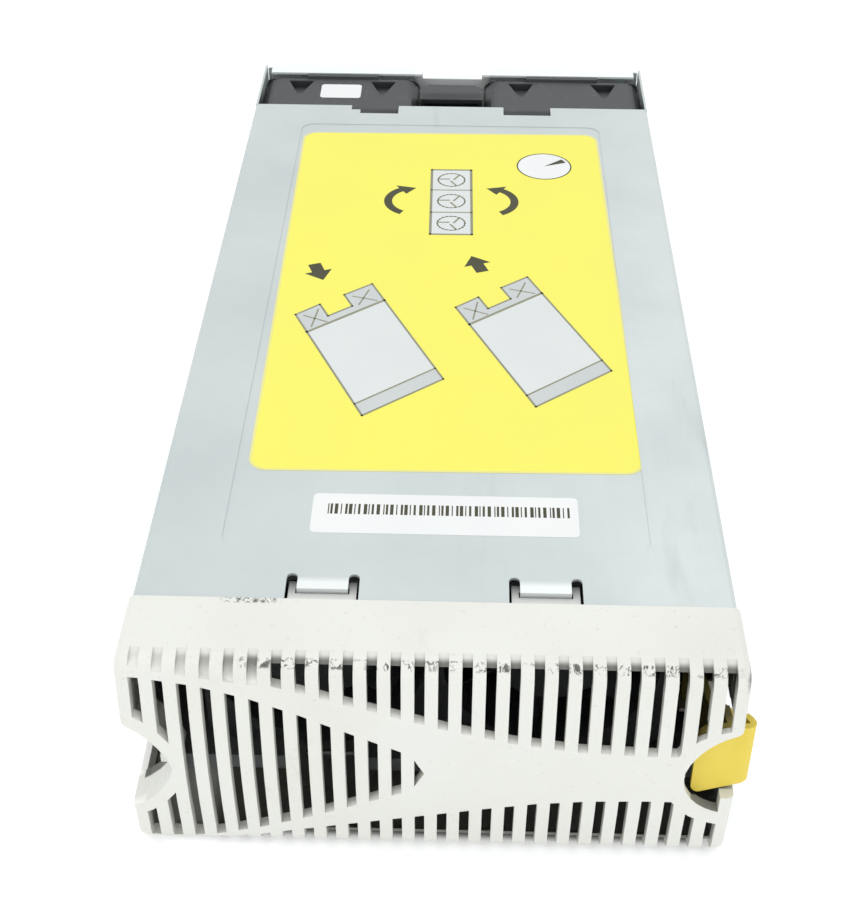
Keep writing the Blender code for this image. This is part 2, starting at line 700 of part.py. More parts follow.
def bezel_blank():
    """The outer form, with its two side edges rounded over."""
    outline = bezel_profile(0.0, 0.0) + [(0.0, -BEZEL_HALF_HEIGHT), (0.0, BEZEL_HALF_HEIGHT)]
    blank = prism("bezel", outline, "X", -BEZEL_HALF_WIDTH, BEZEL_HALF_WIDTH)
    bm = bmesh.new()
    bm.from_mesh(blank.data)
    close = 0.01 * MM
    edges = []
    for edge in bm.edges:
        first, second = (vert.co for vert in edge.verts)
        on_side = abs(first.x - second.x) < close
        at_rim = max(first.y, second.y) > -close and min(first.y, second.y) > -close
        if on_side and not at_rim:
            edges.append(edge)
    bmesh.ops.bevel(bm, geom=edges, offset=BEZEL_EDGE, segments=2, profile=0.5, affect="EDGES")
    bm.to_mesh(blank.data)
    bm.free()
    return blank


def snap_arms():
    """Four tongues that reach back under the cover's and over the pan's tabs."""
    arms = []
    half = TAB_OPENING / 2 - 0.75 * MM
    window_half = TAB_OPENING / 2 - TAB_RELIEF + 0.4 * MM
    outer, inner = INNER_HALF_HEIGHT - 0.5 * MM, INNER_HALF_HEIGHT - 2.1 * MM
    reach, root = 9.6 * MM, -8.0 * MM
    for side in (-1, 1):
        for level in (-1, 1):
            middle = side * TAB_OFFSET
            faces = sorted((level * inner, level * outer))
            arm = box("arm", (middle - half, root, faces[0]), (middle + half, reach, faces[1]))
            window = box("window", (middle - window_half, TAB_SETBACK - 0.5 * MM, faces[0] - SHEET),
                         (middle + window_half, TAB_SETBACK + SHEET + 1.0 * MM, faces[1] + SHEET))
            arms.append(cut(arm, window))
    return arms


def v_jaws():
    """Short plates behind both edges of the V notch, flush with the bezel's side."""
    front = -BEZEL_DEPTH + BEZEL_FRONT_WALL - 0.5 * MM
    outline = v_outline(V_ARC_RADIUS + JAW_THICKNESS, V_ARC_PAST)
    jaws = prism("jaws", outline, "Y", front, JAW_REAR)
    flush_x = -BEZEL_HALF_WIDTH + 0.05 * MM
    outside = box("outside", (flush_x - 6.0 * MM, front - SHEET, -BEZEL_HALF_HEIGHT),
                  (flush_x, JAW_REAR + SHEET, BEZEL_HALF_HEIGHT))
    return cut(jaws, outside)


def side_openings(behind):
    """Cut-outs in both side walls, open to the rear: finger room left, the lever right."""
    outside, inside = BEZEL_HALF_WIDTH + SHEET, BEZEL_HALF_WIDTH - BEZEL_SIDE_WALL - 0.5 * MM
    left_front = -BEZEL_DEPTH + 4.0 * MM
    left = box("side", (-outside, left_front, GRILLE_LEVEL - V_SIDE_HALF),
               (-inside, behind, GRILLE_LEVEL + V_SIDE_HALF))
    right = box("side", (inside, LATCH_POCKET_Y, LATCH_SIDE_LOW), (outside, behind, LATCH_SIDE_HIGH))
    return left, right


def c_notch_cutter():
    """Round notch for the lever's finger plate; the side wall below the lever stays."""
    front, rear = -BEZEL_DEPTH - SHEET, -BEZEL_DEPTH + 9.0 * MM
    notch = cylinder("c_notch", (BEZEL_HALF_WIDTH, C_NOTCH_LEVEL), C_NOTCH_RADIUS, "Y", front, rear, 32)
    flare = cylinder("flare", (C_FLARE_X, C_FLARE_LEVEL), C_FLARE_RADIUS, "Y",
                     front - SHEET, rear + SHEET, 48)
    low_part = box("low_part", (0.0, -BEZEL_DEPTH - 9.0 * MM, -HALF_HEIGHT),
                   (BEZEL_HALF_WIDTH + 40.0 * MM, 0.0, 0.0))
    add(notch, cut(flare, low_part))
    wall = box("wall", (BEZEL_HALF_WIDTH - BEZEL_SIDE_WALL, -BEZEL_DEPTH - 2 * SHEET, -HALF_HEIGHT),
               (BEZEL_HALF_WIDTH + C_NOTCH_RADIUS + SHEET, 0.0, LATCH_SIDE_LOW))
    return cut(notch, wall)


def make_bezel(kit, tray):
    bezel = bezel_blank()
    inside = bezel_profile(BEZEL_WALL, BEZEL_FRONT_WALL - BEZEL_WALL)
    inside_height = BEZEL_HALF_HEIGHT - BEZEL_WALL
    inside_width = BEZEL_HALF_WIDTH - BEZEL_SIDE_WALL
    behind = 5.0 * MM
    hollow = prism("hollow", inside + [(behind, -inside_height), (behind, inside_height)],
                   "X", -inside_width, inside_width)
    latch_pocket = box("pocket", (70.0 * MM, LATCH_POCKET_Y, -12.0 * MM),
                       (inside_width, -20.0 * MM, 19.0 * MM))
    cut(bezel, hollow, latch_pocket, *side_openings(behind))
    add(bezel, v_jaws())
    cut_grille(bezel)
    v_notch = prism("v_notch", v_outline(V_ARC_RADIUS, V_ARC_PAST), "Y", -BEZEL_DEPTH - SHEET, behind)
    cut(bezel, v_notch, c_notch_cutter())
    v_stub = box("stub", (-77.8 * MM, -23.0 * MM, -6.5 * MM), (-73.0 * MM, -20.0 * MM, -3.5 * MM))
    add(bezel, v_stub, *snap_arms())
    return finish(bezel, "bezel", kit["bezel"], tray, smooth=30)


# Release latch
def strip(points, thickness):
    """Outline of a strip of even thickness along a bent centre line."""
    left, right = [], []
    for i, point in enumerate(points):
        before = Vector(points[max(i - 1, 0)])
        after = Vector(points[min(i + 1, len(points) - 1)])
        along = (after - before).normalized()
        normal = Vector((-along.y, along.x)) * thickness / 2
        left.append(tuple(Vector(point) + normal))
        right.append(tuple(Vector(point) - normal))
    return left + list(reversed(right))


def from_pivot(*places):
    """Plan positions in the tray, in millimetres, as seen from the lever's pivot."""
    return [(x * MM - PIVOT_X, y * MM - PIVOT_Y) for x, y in places]


def finger_plate():
    """The plate that is pressed: it fills the C notch and curls round the bezel's side."""
    path = from_pivot((74.4, -24.6), (82.0, -24.6), (88.5, -24.6),
                      (89.4, -24.1), (89.7, -23.2), (89.2, -22.0), (87.9, -20.4))
    plate = prism("plate", strip(path, 1.9 * MM), "Z", LEVER_LOW, LEVER_HIGH)
    (low_x, low_y), (high_x, high_y) = from_pivot((73.4, -27.0), (92.6, -16.0))
    climb = 0.348
    slant_start = from_pivot((76.5, 0.0))[0][0]
    slant = [(x, LEVER_LOW + climb * (x - slant_start)) for x in (low_x, high_x)]
    outline = [*slant, (high_x, LEVER_LOW - 2 * MM), (low_x, LEVER_LOW - 2 * MM)]
    tools = [prism("slant", outline, "Y", low_y, high_y)]
    end_x = path[0][0]
    for level, sign, radius in ((LEVER_LOW, -1, 2.6 * MM), (LEVER_HIGH, 1, 5.0 * MM)):
        centre = (end_x + radius, level - sign * radius)
        sweep = arc(centre, radius, pi, pi - sign * pi / 2, 5)
        corner = (end_x - SHEET, level + sign * SHEET)
        outline = [*sweep, (centre[0], corner[1]), corner, (corner[0], centre[1])]
        tools.append(prism("corner", outline, "Y", low_y, high_y))
    return cut(plate, *tools)


def lever_arm():
    """Runs from the finger plate back to the pivot and steps down behind the plate."""
    path = from_pivot((83.4, -24.6), (82.4, -13.8), (80.6, -2.6), (79.7, 4.0))
    arm = prism("arm", strip(path, LEVER_SHEET), "Z", LEVER_ARM_LOW, LEVER_HIGH)
    (low_x, start_y), (high_x, end_y), (_, rear_y) = from_pivot((76.0, -17.0), (92.0, -9.0), (76.0, 8.0))
    above = LEVER_HIGH + SHEET
    outline = [(start_y, LEVER_HIGH), (end_y, LEVER_ARM_HIGH), (rear_y, LEVER_ARM_HIGH), (rear_y, above),
               (start_y, above)]
    return cut(arm, prism("step", outline, "X", low_x, high_x))


def make_lever(kit, tray):
    barrel_radius = 3.6 * MM
    lever = finger_plate()
    catch_outline = from_pivot((82.0, -12.6), (88.8, -12.2), (88.8, -10.6), (81.4, -1.6), (80.6, -2.2))
    catch = prism("catch", catch_outline, "Z", -6.0 * MM, LEVER_ARM_HIGH)
    neck = prism("neck", strip(from_pivot((79.9, 3.0), (79.3, 8.4)), LEVER_SHEET), "Z",
                 LEVER_ARM_LOW, LEVER_BARREL_HIGH)
    barrel = cylinder("barrel", (0.0, 0.0), barrel_radius, "Z", LEVER_ARM_LOW, LEVER_BARREL_HIGH, 20)
    add(lever, lever_arm(), catch, neck, barrel)
    bore = cylinder("bore", (0.0, 0.0), PIN_RADIUS + 0.2 * MM, "Z",
                    LEVER_ARM_LOW - SHEET, LEVER_BARREL_HIGH + SHEET, 20)
    cut(lever, bore)
    finish(lever, "latch_lever", kit["lever"], tray, smooth=30)
    lever.location = (PIVOT_X, PIVOT_Y, 0.0)
    return lever


def make_latch_bracket(kit, tray):
    """Riveted clevis on the right-hand wall: a back plate, two ears and a stop lip."""
    back = INNER_HALF_WIDTH - GAP
    ear_front, ear_rear = PIVOT_Y - 5.6 * MM, PIVOT_Y + 5.6 * MM
    bottom, top = EAR_LOW - EAR_THICKNESS, EAR_HIGH + EAR_THICKNESS
    plate_front = 2.6 * MM
    bracket = box("plate", (back - SHEET, plate_front, bottom), (back, ear_rear, top))
    ear_tip = PIVOT_X - 4.2 * MM
    lower = box("ear", (ear_tip, ear_front, bottom), (back - SHEET / 2, ear_rear, EAR_LOW))
    upper = box("ear", (ear_tip, ear_front, EAR_HIGH), (back - SHEET / 2, ear_rear, top))
    lip_x, lip_half = 81.1 * MM, 5.0 * MM
    lip = box("lip", (lip_x, plate_front, -lip_half), (back - SHEET / 2, plate_front + SHEET, lip_half))
    add(bracket, lower, upper, lip)
    hole = cylinder("hole", (PIVOT_X, PIVOT_Y), PIN_RADIUS + GAP, "Z", bottom - SHEET, top + SHEET, 20)
    cut(bracket, hole)
    return finish(bracket, "latch_bracket", kit["steel"], tray, smooth=30)


def make_latch_pin(kit, tray):
    head_radius, head_height = 2.7 * MM, 1.2 * MM
    tail = EAR_LOW - EAR_THICKNESS - 1.0 * MM
    seat = EAR_HIGH + EAR_THICKNESS + GAP
    profile = [(0.0, tail), (PIN_RADIUS, tail), (PIN_RADIUS, seat), (head_radius, seat),
               (head_radius, seat + head_height), (0.0, seat + head_height)]
    pin = turned("pin", profile, 20)
    finish(pin, "latch_pin", kit["steel"], tray, smooth=30)
    pin.location = (PIVOT_X, PIVOT_Y, 0.0)
    pin.rotation_euler = (pi / 2, 0.0, 0.0)
    return pin


def make_latch_spring(kit, tray):
    """Torsion spring round the pin: one leg beside the lever's arm, one at the bracket."""
    wire, coil_radius = 0.4 * MM, 2.9 * MM
    turns, steps = 4.25, 8
    count = round(turns * steps)
    points = [(-0.5 * MM, -7.5 * MM, SPRING_LOW), (-2.6 * MM, -1.3 * MM, SPRING_LOW)]
    for i in range(count + 1):
        angle = pi - 2 * pi * i / steps
        height = SPRING_LOW + (SPRING_HIGH - SPRING_LOW) * i / count
        points.append((coil_radius * cos(angle), coil_radius * sin(angle), height))
    points.append((3.9 * MM, 3.2 * MM, SPRING_HIGH))
    spring = tube("spring", points, wire, 1)
    finish(spring, "latch_spring", kit["steel"], tray)
    spring.location = (PIVOT_X, PIVOT_Y, 0.0)
    return spring


# Fans
FAN_FLANGE = 2.0 * MM
STATOR_RADIUS = 14.5 * MM
BASE_RADIUS = 17.0 * MM
BASE_FRONT, BASE_REAR = 33.6 * MM, 37.0 * MM
SHAFT_RADIUS = 1.5 * MM


def pocket(angle, side):
    """Tapered recess beside the rear flange, one of two on each face."""
    near, far, apex = 12.5 * MM, 24.5 * MM, 18.5 * MM
    floor_near, floor_far = 14.5 * MM, 22.5 * MM
    rear, front = FAN_DEPTH - FAN_FLANGE, 19.0 * MM
    top, floor = FAN_SIZE / 2 + 0.5 * MM, FAN_SIZE / 2 - 3.2 * MM
    spots = [(near, rear, top), (far, rear, top), (apex, front, top),
             (floor_near, rear, floor), (floor_far, rear, floor)]
    bm = bmesh.new()
    turn = Matrix.Rotation(angle, 3, "Y")
    verts = [bm.verts.new(turn @ Vector((side * x, y, z))) for x, y, z in spots]
    for face in ((0, 1, 2), (0, 1, 4, 3), (0, 2, 3), (1, 2, 4), (3, 4, 2)):
        bm.faces.new([verts[i] for i in face])
    return solid("pocket", bm)


def make_fan_frame(kit):
    """Square axial-fan housing; its front face is at y = 0 and its hub base at the rear."""
    half = FAN_SIZE / 2
    frame = prism("frame", rounded_rectangle(half, half, FAN_CORNER), "Y", 0.0, FAN_DEPTH)
    bore = cylinder("bore", (0.0, 0.0), FAN_BORE, "Y", -SHEET, FAN_DEPTH + SHEET, 36)
    holes = [
        cylinder("hole", (sx * HOLE_OFFSET, sz * HOLE_OFFSET), SCREW_HOLE, "Y", -SHEET, FAN_DEPTH + SHEET, 8)
        for sx, sz in CORNERS
    ]
    pockets = [pocket(quarter * pi / 2, side) for quarter in range(4) for side in (-1, 1)]
    cut(frame, bore, *holes, *pockets)
    base = cylinder("base", (0.0, 0.0), BASE_RADIUS, "Y", BASE_FRONT, BASE_REAR, 24)
    stator = cylinder("stator", (0.0, 0.0), STATOR_RADIUS, "Y", 9.0 * MM, BASE_FRONT + SHEET, 16)
    struts = []
    for quarter in range(2):
        width = 4.0 * MM
        strut = box("strut", (-FAN_BORE - SHEET, BASE_FRONT + 0.3 * MM, -width / 2),
                    (FAN_BORE + SHEET, BASE_REAR - 0.3 * MM, width / 2))
        strut.rotation_euler = (0.0, radians(20 + 90 * quarter), 0.0)
        struts.append(strut)
    add(frame, base, stator, *struts)
    shaft_bore = cylinder("bore", (0.0, 0.0), SHAFT_RADIUS + GAP, "Y", 8.0 * MM, 30.0 * MM, 12)
    cut(frame, shaft_bore)
    return frame


def blade(angle):
    """Twisted, cambered blade between the hub and the bore."""
    root, tip = 17.4 * MM, 31.6 * MM
    spans, chords = 2, 3
    front, rear = 6.0 * MM, 29.5 * MM
    rows = []
    for s in range(spans + 1):
        radius = root + (tip - root) * s / spans
        sweep = radians(46 - 8 * s / spans)
        lead = radians(6.0 * s / spans)
        row = []
        for c in range(chords + 1):
            t = c / chords
            turn = angle + lead + sweep * t ** 1.25
            thickness = (0.5 + 1.1 * sin(pi * t)) * MM
            tip_cut = 1.6 * MM * s / spans
            y = front + tip_cut + (rear - front - 2 * tip_cut) * t
            row.append((radius, turn, y, thickness / 2))
        rows.append(row)
    bm = bmesh.new()
    faces_of = []
    for sign in (-1, 1):
        grid = []
        for row in rows:
            line = []
            for radius, turn, y, half in row:
                shifted = turn + sign * half / radius
                line.append(bm.verts.new((radius * cos(shifted), y, radius * sin(shifted))))
            grid.append(line)
        faces_of.append(grid)
    near, far = faces_of
    for s in range(spans):
        for c in range(chords):
            for grid in (near, far):
                bm.faces.new((grid[s][c], grid[s][c + 1], grid[s + 1][c + 1], grid[s + 1][c]))
        for c in (0, chords):
            bm.faces.new((near[s][c], near[s + 1][c], far[s + 1][c], far[s][c]))
    for c in range(chords):
        for s in (0, spans):
            bm.faces.new((near[s][c], near[s][c + 1], far[s][c + 1], far[s][c]))
    return solid("blade", bm)


def make_rotor(kit):
    """Cup-shaped hub with its shaft, carrying the blades."""
    front, lid, rear = 3.0 * MM, 5.4 * MM, 31.0 * MM
    inner = HUB_RADIUS - 2.2 * MM
    shaft_end = 28.0 * MM
    rounding = 1.2 * MM
    profile = [
        (0.0, front), (HUB_RADIUS - rounding, front), (HUB_RADIUS, front + rounding),
        (HUB_RADIUS, rear), (inner, rear), (inner, lid), (SHAFT_RADIUS, lid),
        (SHAFT_RADIUS, shaft_end), (0.0, shaft_end),
    ]
    rotor = turned("rotor", profile, 24)
    add(rotor, *[blade(2 * pi * number / BLADES) for number in range(BLADES)])
    return rotor


def make_fans(kit, tray):
    frame = finish(make_fan_frame(kit), "fan_frame", kit["fan"], None, smooth=30)
    rotor = finish(make_rotor(kit), "fan_rotor", kit["fan"], None, smooth=30)
    for row, x, y in (("front", FRONT_FAN_X, FRONT_FAN_Y), ("rear", REAR_FAN_X, REAR_FAN_Y)):
        for side_name, side in (("left", -1), ("right", 1)):
            place = (side * x, y, 0.0)
            place_copy(frame, f"{row}_{side_name}_fan_frame", tray, place)
            place_copy(rotor, f"{row}_{side_name}_fan_rotor", tray, place)
    bpy.data.objects.remove(frame)
    bpy.data.objects.remove(rotor)


def ring(name, inner, outer, thickness, segments=24):
    body = cylinder(name, (0.0, 0.0), outer, "Y", 0.0, thickness, segments)
    return cut(body, cylinder("inside", (0.0, 0.0), inner, "Y", -SHEET, thickness + SHEET, segments))


def make_guards(kit, tray):
    """Moulded finger guard: rings on four spokes, with screw ears and a flat locating tab."""
    width = 1.7 * MM
    guard = ring("rim", 31.2 * MM, 34.2 * MM, GUARD_THICKNESS)
    parts = [ring("ring", radius, radius + width, GUARD_THICKNESS) for radius in (24.6 * MM, 18.2 * MM)]
    parts.append(cylinder("hub", (0.0, 0.0), 12.5 * MM, "Y", 0.0, GUARD_THICKNESS, 20))
    for quarter in range(2):
        half = 33.0 * MM
        spoke = box("spoke", (-half, 0.3 * MM, -1.3 * MM), (half, GUARD_THICKNESS - 0.3 * MM, 1.3 * MM))
        spoke.rotation_euler = (0.0, radians(45 + 90 * quarter), 0.0)
        parts.append(spoke)
    tab_half, tab_top = 16.0 * MM, HALF_HEIGHT - GAP
    for level in (-1, 1):
        faces = sorted((level * 31.5 * MM, level * (tab_top if level > 0 else INNER_HALF_HEIGHT - GAP)))
        parts.append(box("tab", (-tab_half, 0.0, faces[0]), (tab_half, GUARD_THICKNESS, faces[1])))
    for sx, sz in CORNERS:
        centre = (sx * HOLE_OFFSET, sz * HOLE_OFFSET)
        parts.append(cylinder("ear", centre, 4.1 * MM, "Y", 0.0, GUARD_THICKNESS, 12))
        inward = FAN_BORE / sqrt(2)
        arm_half = 2.4 * MM
        arm = box("arm", (-arm_half, 0.0, inward), (arm_half, GUARD_THICKNESS, hypot(*centre)))
        arm.rotation_euler = (0.0, atan2(sx, sz), 0.0)
        parts.append(arm)
    add(guard, *parts)
    holes = [
        cylinder("hole", (sx * HOLE_OFFSET, sz * HOLE_OFFSET), SCREW_HOLE, "Y",
                 -SHEET, GUARD_THICKNESS + SHEET, 8)
        for sx, sz in CORNERS
    ]
    cut(guard, *holes)
    finish(guard, "finger_guard", kit["fan"], None, smooth=30)
    for side_name, side in (("left", -1), ("right", 1)):
        place_copy(guard, f"{side_name}_finger_guard", tray, (side * REAR_FAN_X, GUARD_Y, 0.0))
    bpy.data.objects.remove(guard)


# Connector and leads
HOUSING_FRONT, HOUSING_REAR = 324.2 * MM, 339.2 * MM
HOUSING_HALF_WIDTH = 13.8 * MM
HOUSING_LOW, HOUSING_HIGH = -34.0 * MM, 36.0 * MM
PLUG_HALF_WIDTH, PLUG_HALF_HEIGHT = 9.0 * MM, 13.0 * MM
LEAD_RADIUS = 1.5 * MM
LEAD_FLOOR = -INNER_HALF_HEIGHT + 3.0 * MM
LEAD_SPREAD = 3.6 * MM        # both long leads run this far from the middle


def make_connector(kit, tray):
    wall = 2.0 * MM
    rear_wall, chamfer = 2.4 * MM, 3.5 * MM
    half = HOUSING_HALF_WIDTH
    outline = [(-half, HOUSING_FRONT), (half, HOUSING_FRONT),
               (half, HOUSING_REAR - chamfer), (half - chamfer, HOUSING_REAR),
               (-half + chamfer, HOUSING_REAR), (-half, HOUSING_REAR - chamfer)]
    housing = prism("housing", outline, "Z", HOUSING_LOW, HOUSING_HIGH)
    hollow = box("hollow", (-half + wall, HOUSING_FRONT - SHEET, HOUSING_LOW + wall),
                 (half - wall, HOUSING_REAR - rear_wall, HOUSING_HIGH - wall))
    cut(housing, hollow)
    finish(housing, "connector_housing", kit["fan"], tray)

    pw, ph = PLUG_HALF_WIDTH, PLUG_HALF_HEIGHT
    plug = box("plug", (-pw, HOUSING_REAR + GAP, -ph), (pw, BODY_LENGTH, ph))
    mouth_wall, mouth_depth = 1.6 * MM, 9.0 * MM
    mouth = box("mouth", (-pw + mouth_wall, BODY_LENGTH - mouth_depth, -ph + mouth_wall),
                (pw - mouth_wall, BODY_LENGTH + SHEET, ph - mouth_wall))
    cut(plug, mouth)
    blade_half_x, blade_half_z = 0.4 * MM, 1.1 * MM
    contacts = []
    for column in (-1, 1):
        for row in (-1.5, -0.5, 0.5, 1.5):
            x, z = column * 3.4 * MM, row * 5.4 * MM
            low = (x - blade_half_x, BODY_LENGTH - mouth_depth - SHEET, z - blade_half_z)
            high = (x + blade_half_x, BODY_LENGTH - 1.5 * MM, z + blade_half_z)
            contacts.append(box("contact", low, high))
    add(plug, *contacts)
    finish(plug, "blind_mate_plug", kit["fan"], tray)


def lead_route(side, row):
    """Centre line of a fan's lead, from the fan to its plug in the connector housing."""
    plug_y = 326.2 * MM
    if row == "front":
        x, floor = side * LEAD_SPREAD, LEAD_FLOOR
        hub_y = FRONT_FAN_Y + BASE_REAR + GAP
        return [
            (side * 27.0 * MM, hub_y, -8.0 * MM), (side * 27.0 * MM, hub_y + 3 * MM, -8.0 * MM),
            (side * 25.5 * MM, hub_y + 6.5 * MM, -14.0 * MM), (side * 22.0 * MM, hub_y + 10 * MM, -24.0 * MM),
            (side * 16.5 * MM, hub_y + 17 * MM, -30.5 * MM),
            (side * 9.0 * MM, hub_y + 27 * MM, floor), (side * 4.6 * MM, hub_y + 37 * MM, floor),
            (x, hub_y + 46 * MM, floor), (x, 106 * MM, floor), (x, 150 * MM, floor), (x, 230 * MM, floor),
            (x, 300 * MM, floor), (side * 4.4 * MM, 314 * MM, -29.0 * MM),
            (side * 5.4 * MM, 321 * MM, -24.0 * MM), (side * 5.4 * MM, plug_y, -22.5 * MM),
        ]
    inner_x = side * (REAR_FAN_X - FAN_SIZE / 2 - GAP)
    return [
        (inner_x, 312.0 * MM, 14.0 * MM), (side * 11.0 * MM, 312.6 * MM, 14.0 * MM),
        (side * 7.4 * MM, 315.4 * MM, 15.4 * MM), (side * 5.8 * MM, 320.0 * MM, 17.2 * MM),
        (side * 5.4 * MM, plug_y, 18.0 * MM),
    ]


def make_leads(kit, tray):
    for row in ("front", "rear"):
        for side_name, side in (("left", -1), ("right", 1)):
            knots = lead_route(side, row)
            spacing = 8.0 * MM if row == "front" else 2.5 * MM
            lead = tube("lead", smooth_route(knots, spacing), LEAD_RADIUS, 2)
            finish(lead, f"{row}_{side_name}_fan_lead", kit["lead"], tray)
            x, y, z = knots[-1]
            half, height, length = 3.4 * MM, 2.8 * MM, 9.0 * MM
            plug = box("plug", (x - half, y + GAP, z - height),
                       (x + half, y + GAP + length, z + height))
            finish(plug, f"{row}_{side_name}_lead_plug", kit["nylon"], tray)


def make_lead_clips(kit, tray):
    """Stick-on clips that hold the two long leads down on the pan's floor."""
    floor = -INNER_HALF_HEIGHT + GAP
    length, half, height = 9.0 * MM, 8.0 * MM, 5.6 * MM
    foot, slant, throat_half = 1.0 * MM, 2.0 * MM, 0.7 * MM
    for number, y in enumerate((110.0 * MM, 190.0 * MM, 270.0 * MM), start=1):
        front, rear = y - SHEET, y + length + SHEET
        right = [(half, floor), (half, floor + foot), (half - slant, floor + height)]
        left = [(-x, z) for x, z in reversed(right)]
        clip = prism("clip", right + left, "Y", y, y + length)
        tools = [
            cylinder("seat", (side * LEAD_SPREAD, LEAD_FLOOR), LEAD_RADIUS + GAP, "Y", front, rear, 16)
            for side in (-1, 1)
        ]
        tools.append(box("throat", (-throat_half, front, LEAD_FLOOR),
                         (throat_half, rear, floor + height + SHEET)))
        cut(clip, *tools)
        finish(clip, f"lead_clip_{number}", kit["nylon"], tray)


def clear_scene():
    for item in list(bpy.data.objects):
        bpy.data.objects.remove(item)


def main():
    clear_scene()
    kit = make_materials()
    tray = bpy.data.objects.new("tray_frame", None)
    bpy.context.scene.collection.objects.link(tray)
    tray.location = (0.0, SEAT_Y, HALF_HEIGHT)

    make_pan(kit, tray)
    make_cover(kit, tray)
    make_rear_panel(kit, tray)
    make_fan_bracket(kit, tray, "front_fan_bracket",
                     FRONT_BRACKET_Y, FRONT_BRACKET_Y + 9.0 * MM, FRONT_FAN_X, False)
    make_fan_bracket(kit, tray, "rear_fan_bracket",
                     REAR_BRACKET_Y, REAR_BRACKET_Y - 8.0 * MM, REAR_FAN_X, True)
    make_bezel(kit, tray)
    make_lever(kit, tray)
    make_latch_bracket(kit, tray)
    make_latch_pin(kit, tray)
    make_latch_spring(kit, tray)
    make_fans(kit, tray)
    make_guards(kit, tray)
    make_connector(kit, tray)
    make_leads(kit, tray)
    make_lead_clips(kit, tray)
    make_screws(kit, tray)


main()
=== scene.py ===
"""Looks for the switch fan tray: materials, labels, camera and studio.

Metres, in the row frame: +Y from the bezel to the rear connector, +Z up. The flat
prints are drawn in millimetres: x across the tray, y towards the rear.
"""

import json
from math import cos, pi, radians, sin

import bmesh
import bpy
from mathutils import Matrix, Vector


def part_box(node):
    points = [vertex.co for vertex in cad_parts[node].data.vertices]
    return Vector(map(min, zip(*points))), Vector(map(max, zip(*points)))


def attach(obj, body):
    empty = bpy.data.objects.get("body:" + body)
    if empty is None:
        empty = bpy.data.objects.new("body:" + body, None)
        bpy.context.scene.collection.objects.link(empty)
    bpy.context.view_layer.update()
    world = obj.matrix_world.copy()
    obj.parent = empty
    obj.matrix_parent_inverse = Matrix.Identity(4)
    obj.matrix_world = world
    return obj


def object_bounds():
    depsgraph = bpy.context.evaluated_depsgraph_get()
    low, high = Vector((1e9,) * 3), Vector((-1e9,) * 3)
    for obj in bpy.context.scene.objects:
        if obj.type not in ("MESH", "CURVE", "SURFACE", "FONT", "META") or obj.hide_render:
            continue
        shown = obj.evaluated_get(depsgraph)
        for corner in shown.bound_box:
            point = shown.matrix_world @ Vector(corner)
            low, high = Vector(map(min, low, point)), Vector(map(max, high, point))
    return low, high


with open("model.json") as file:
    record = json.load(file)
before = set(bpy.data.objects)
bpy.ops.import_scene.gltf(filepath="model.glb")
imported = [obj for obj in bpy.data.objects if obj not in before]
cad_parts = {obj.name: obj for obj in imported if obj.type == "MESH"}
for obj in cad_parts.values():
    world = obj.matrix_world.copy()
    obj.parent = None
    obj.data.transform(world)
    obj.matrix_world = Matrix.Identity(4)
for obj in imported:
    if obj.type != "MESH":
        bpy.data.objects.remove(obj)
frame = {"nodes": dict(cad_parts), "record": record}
cad_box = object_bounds()
nodes = frame["nodes"]

MM = 0.001
PAPER = 0.12 * MM
INK = 0.02 * MM
RECESS_TOP = 0.0727  # floor of the cover's pressed outline (z)
SEAT = -163.85  # where the bezel's rear rim meets the cover (y, mm)

# Bounds of the masks in the materials, at or close to the inner faces that they name
PAN_SIDE, PAN_FLOOR, COVER_UNDER = 0.0851, 0.0009, 0.0721  # x at both sides, z, z
BEZEL_SIDE, BEZEL_LOW, BEZEL_HIGH = 0.0828, 0.0015, 0.0708  # x at both sides, z, z
TAB_MIDDLE = 0.0325  # x of the cover's two snap tabs, at both sides
# The bezel's front wall and its rounded upper edge turn about lines along X, given as (y, z)
BOW_CENTRE = (0.01915, 0.0365)
BOW_INNER = 0.2091  # radius of the front wall's inner face
EDGE_CENTRE = (-0.18565, 0.0682)
EDGE_INNER = 0.0049  # the grooves lie within this radius, under the rounded edge

DAYLIGHT = (0.98, 0.99, 1.0, 1.0)


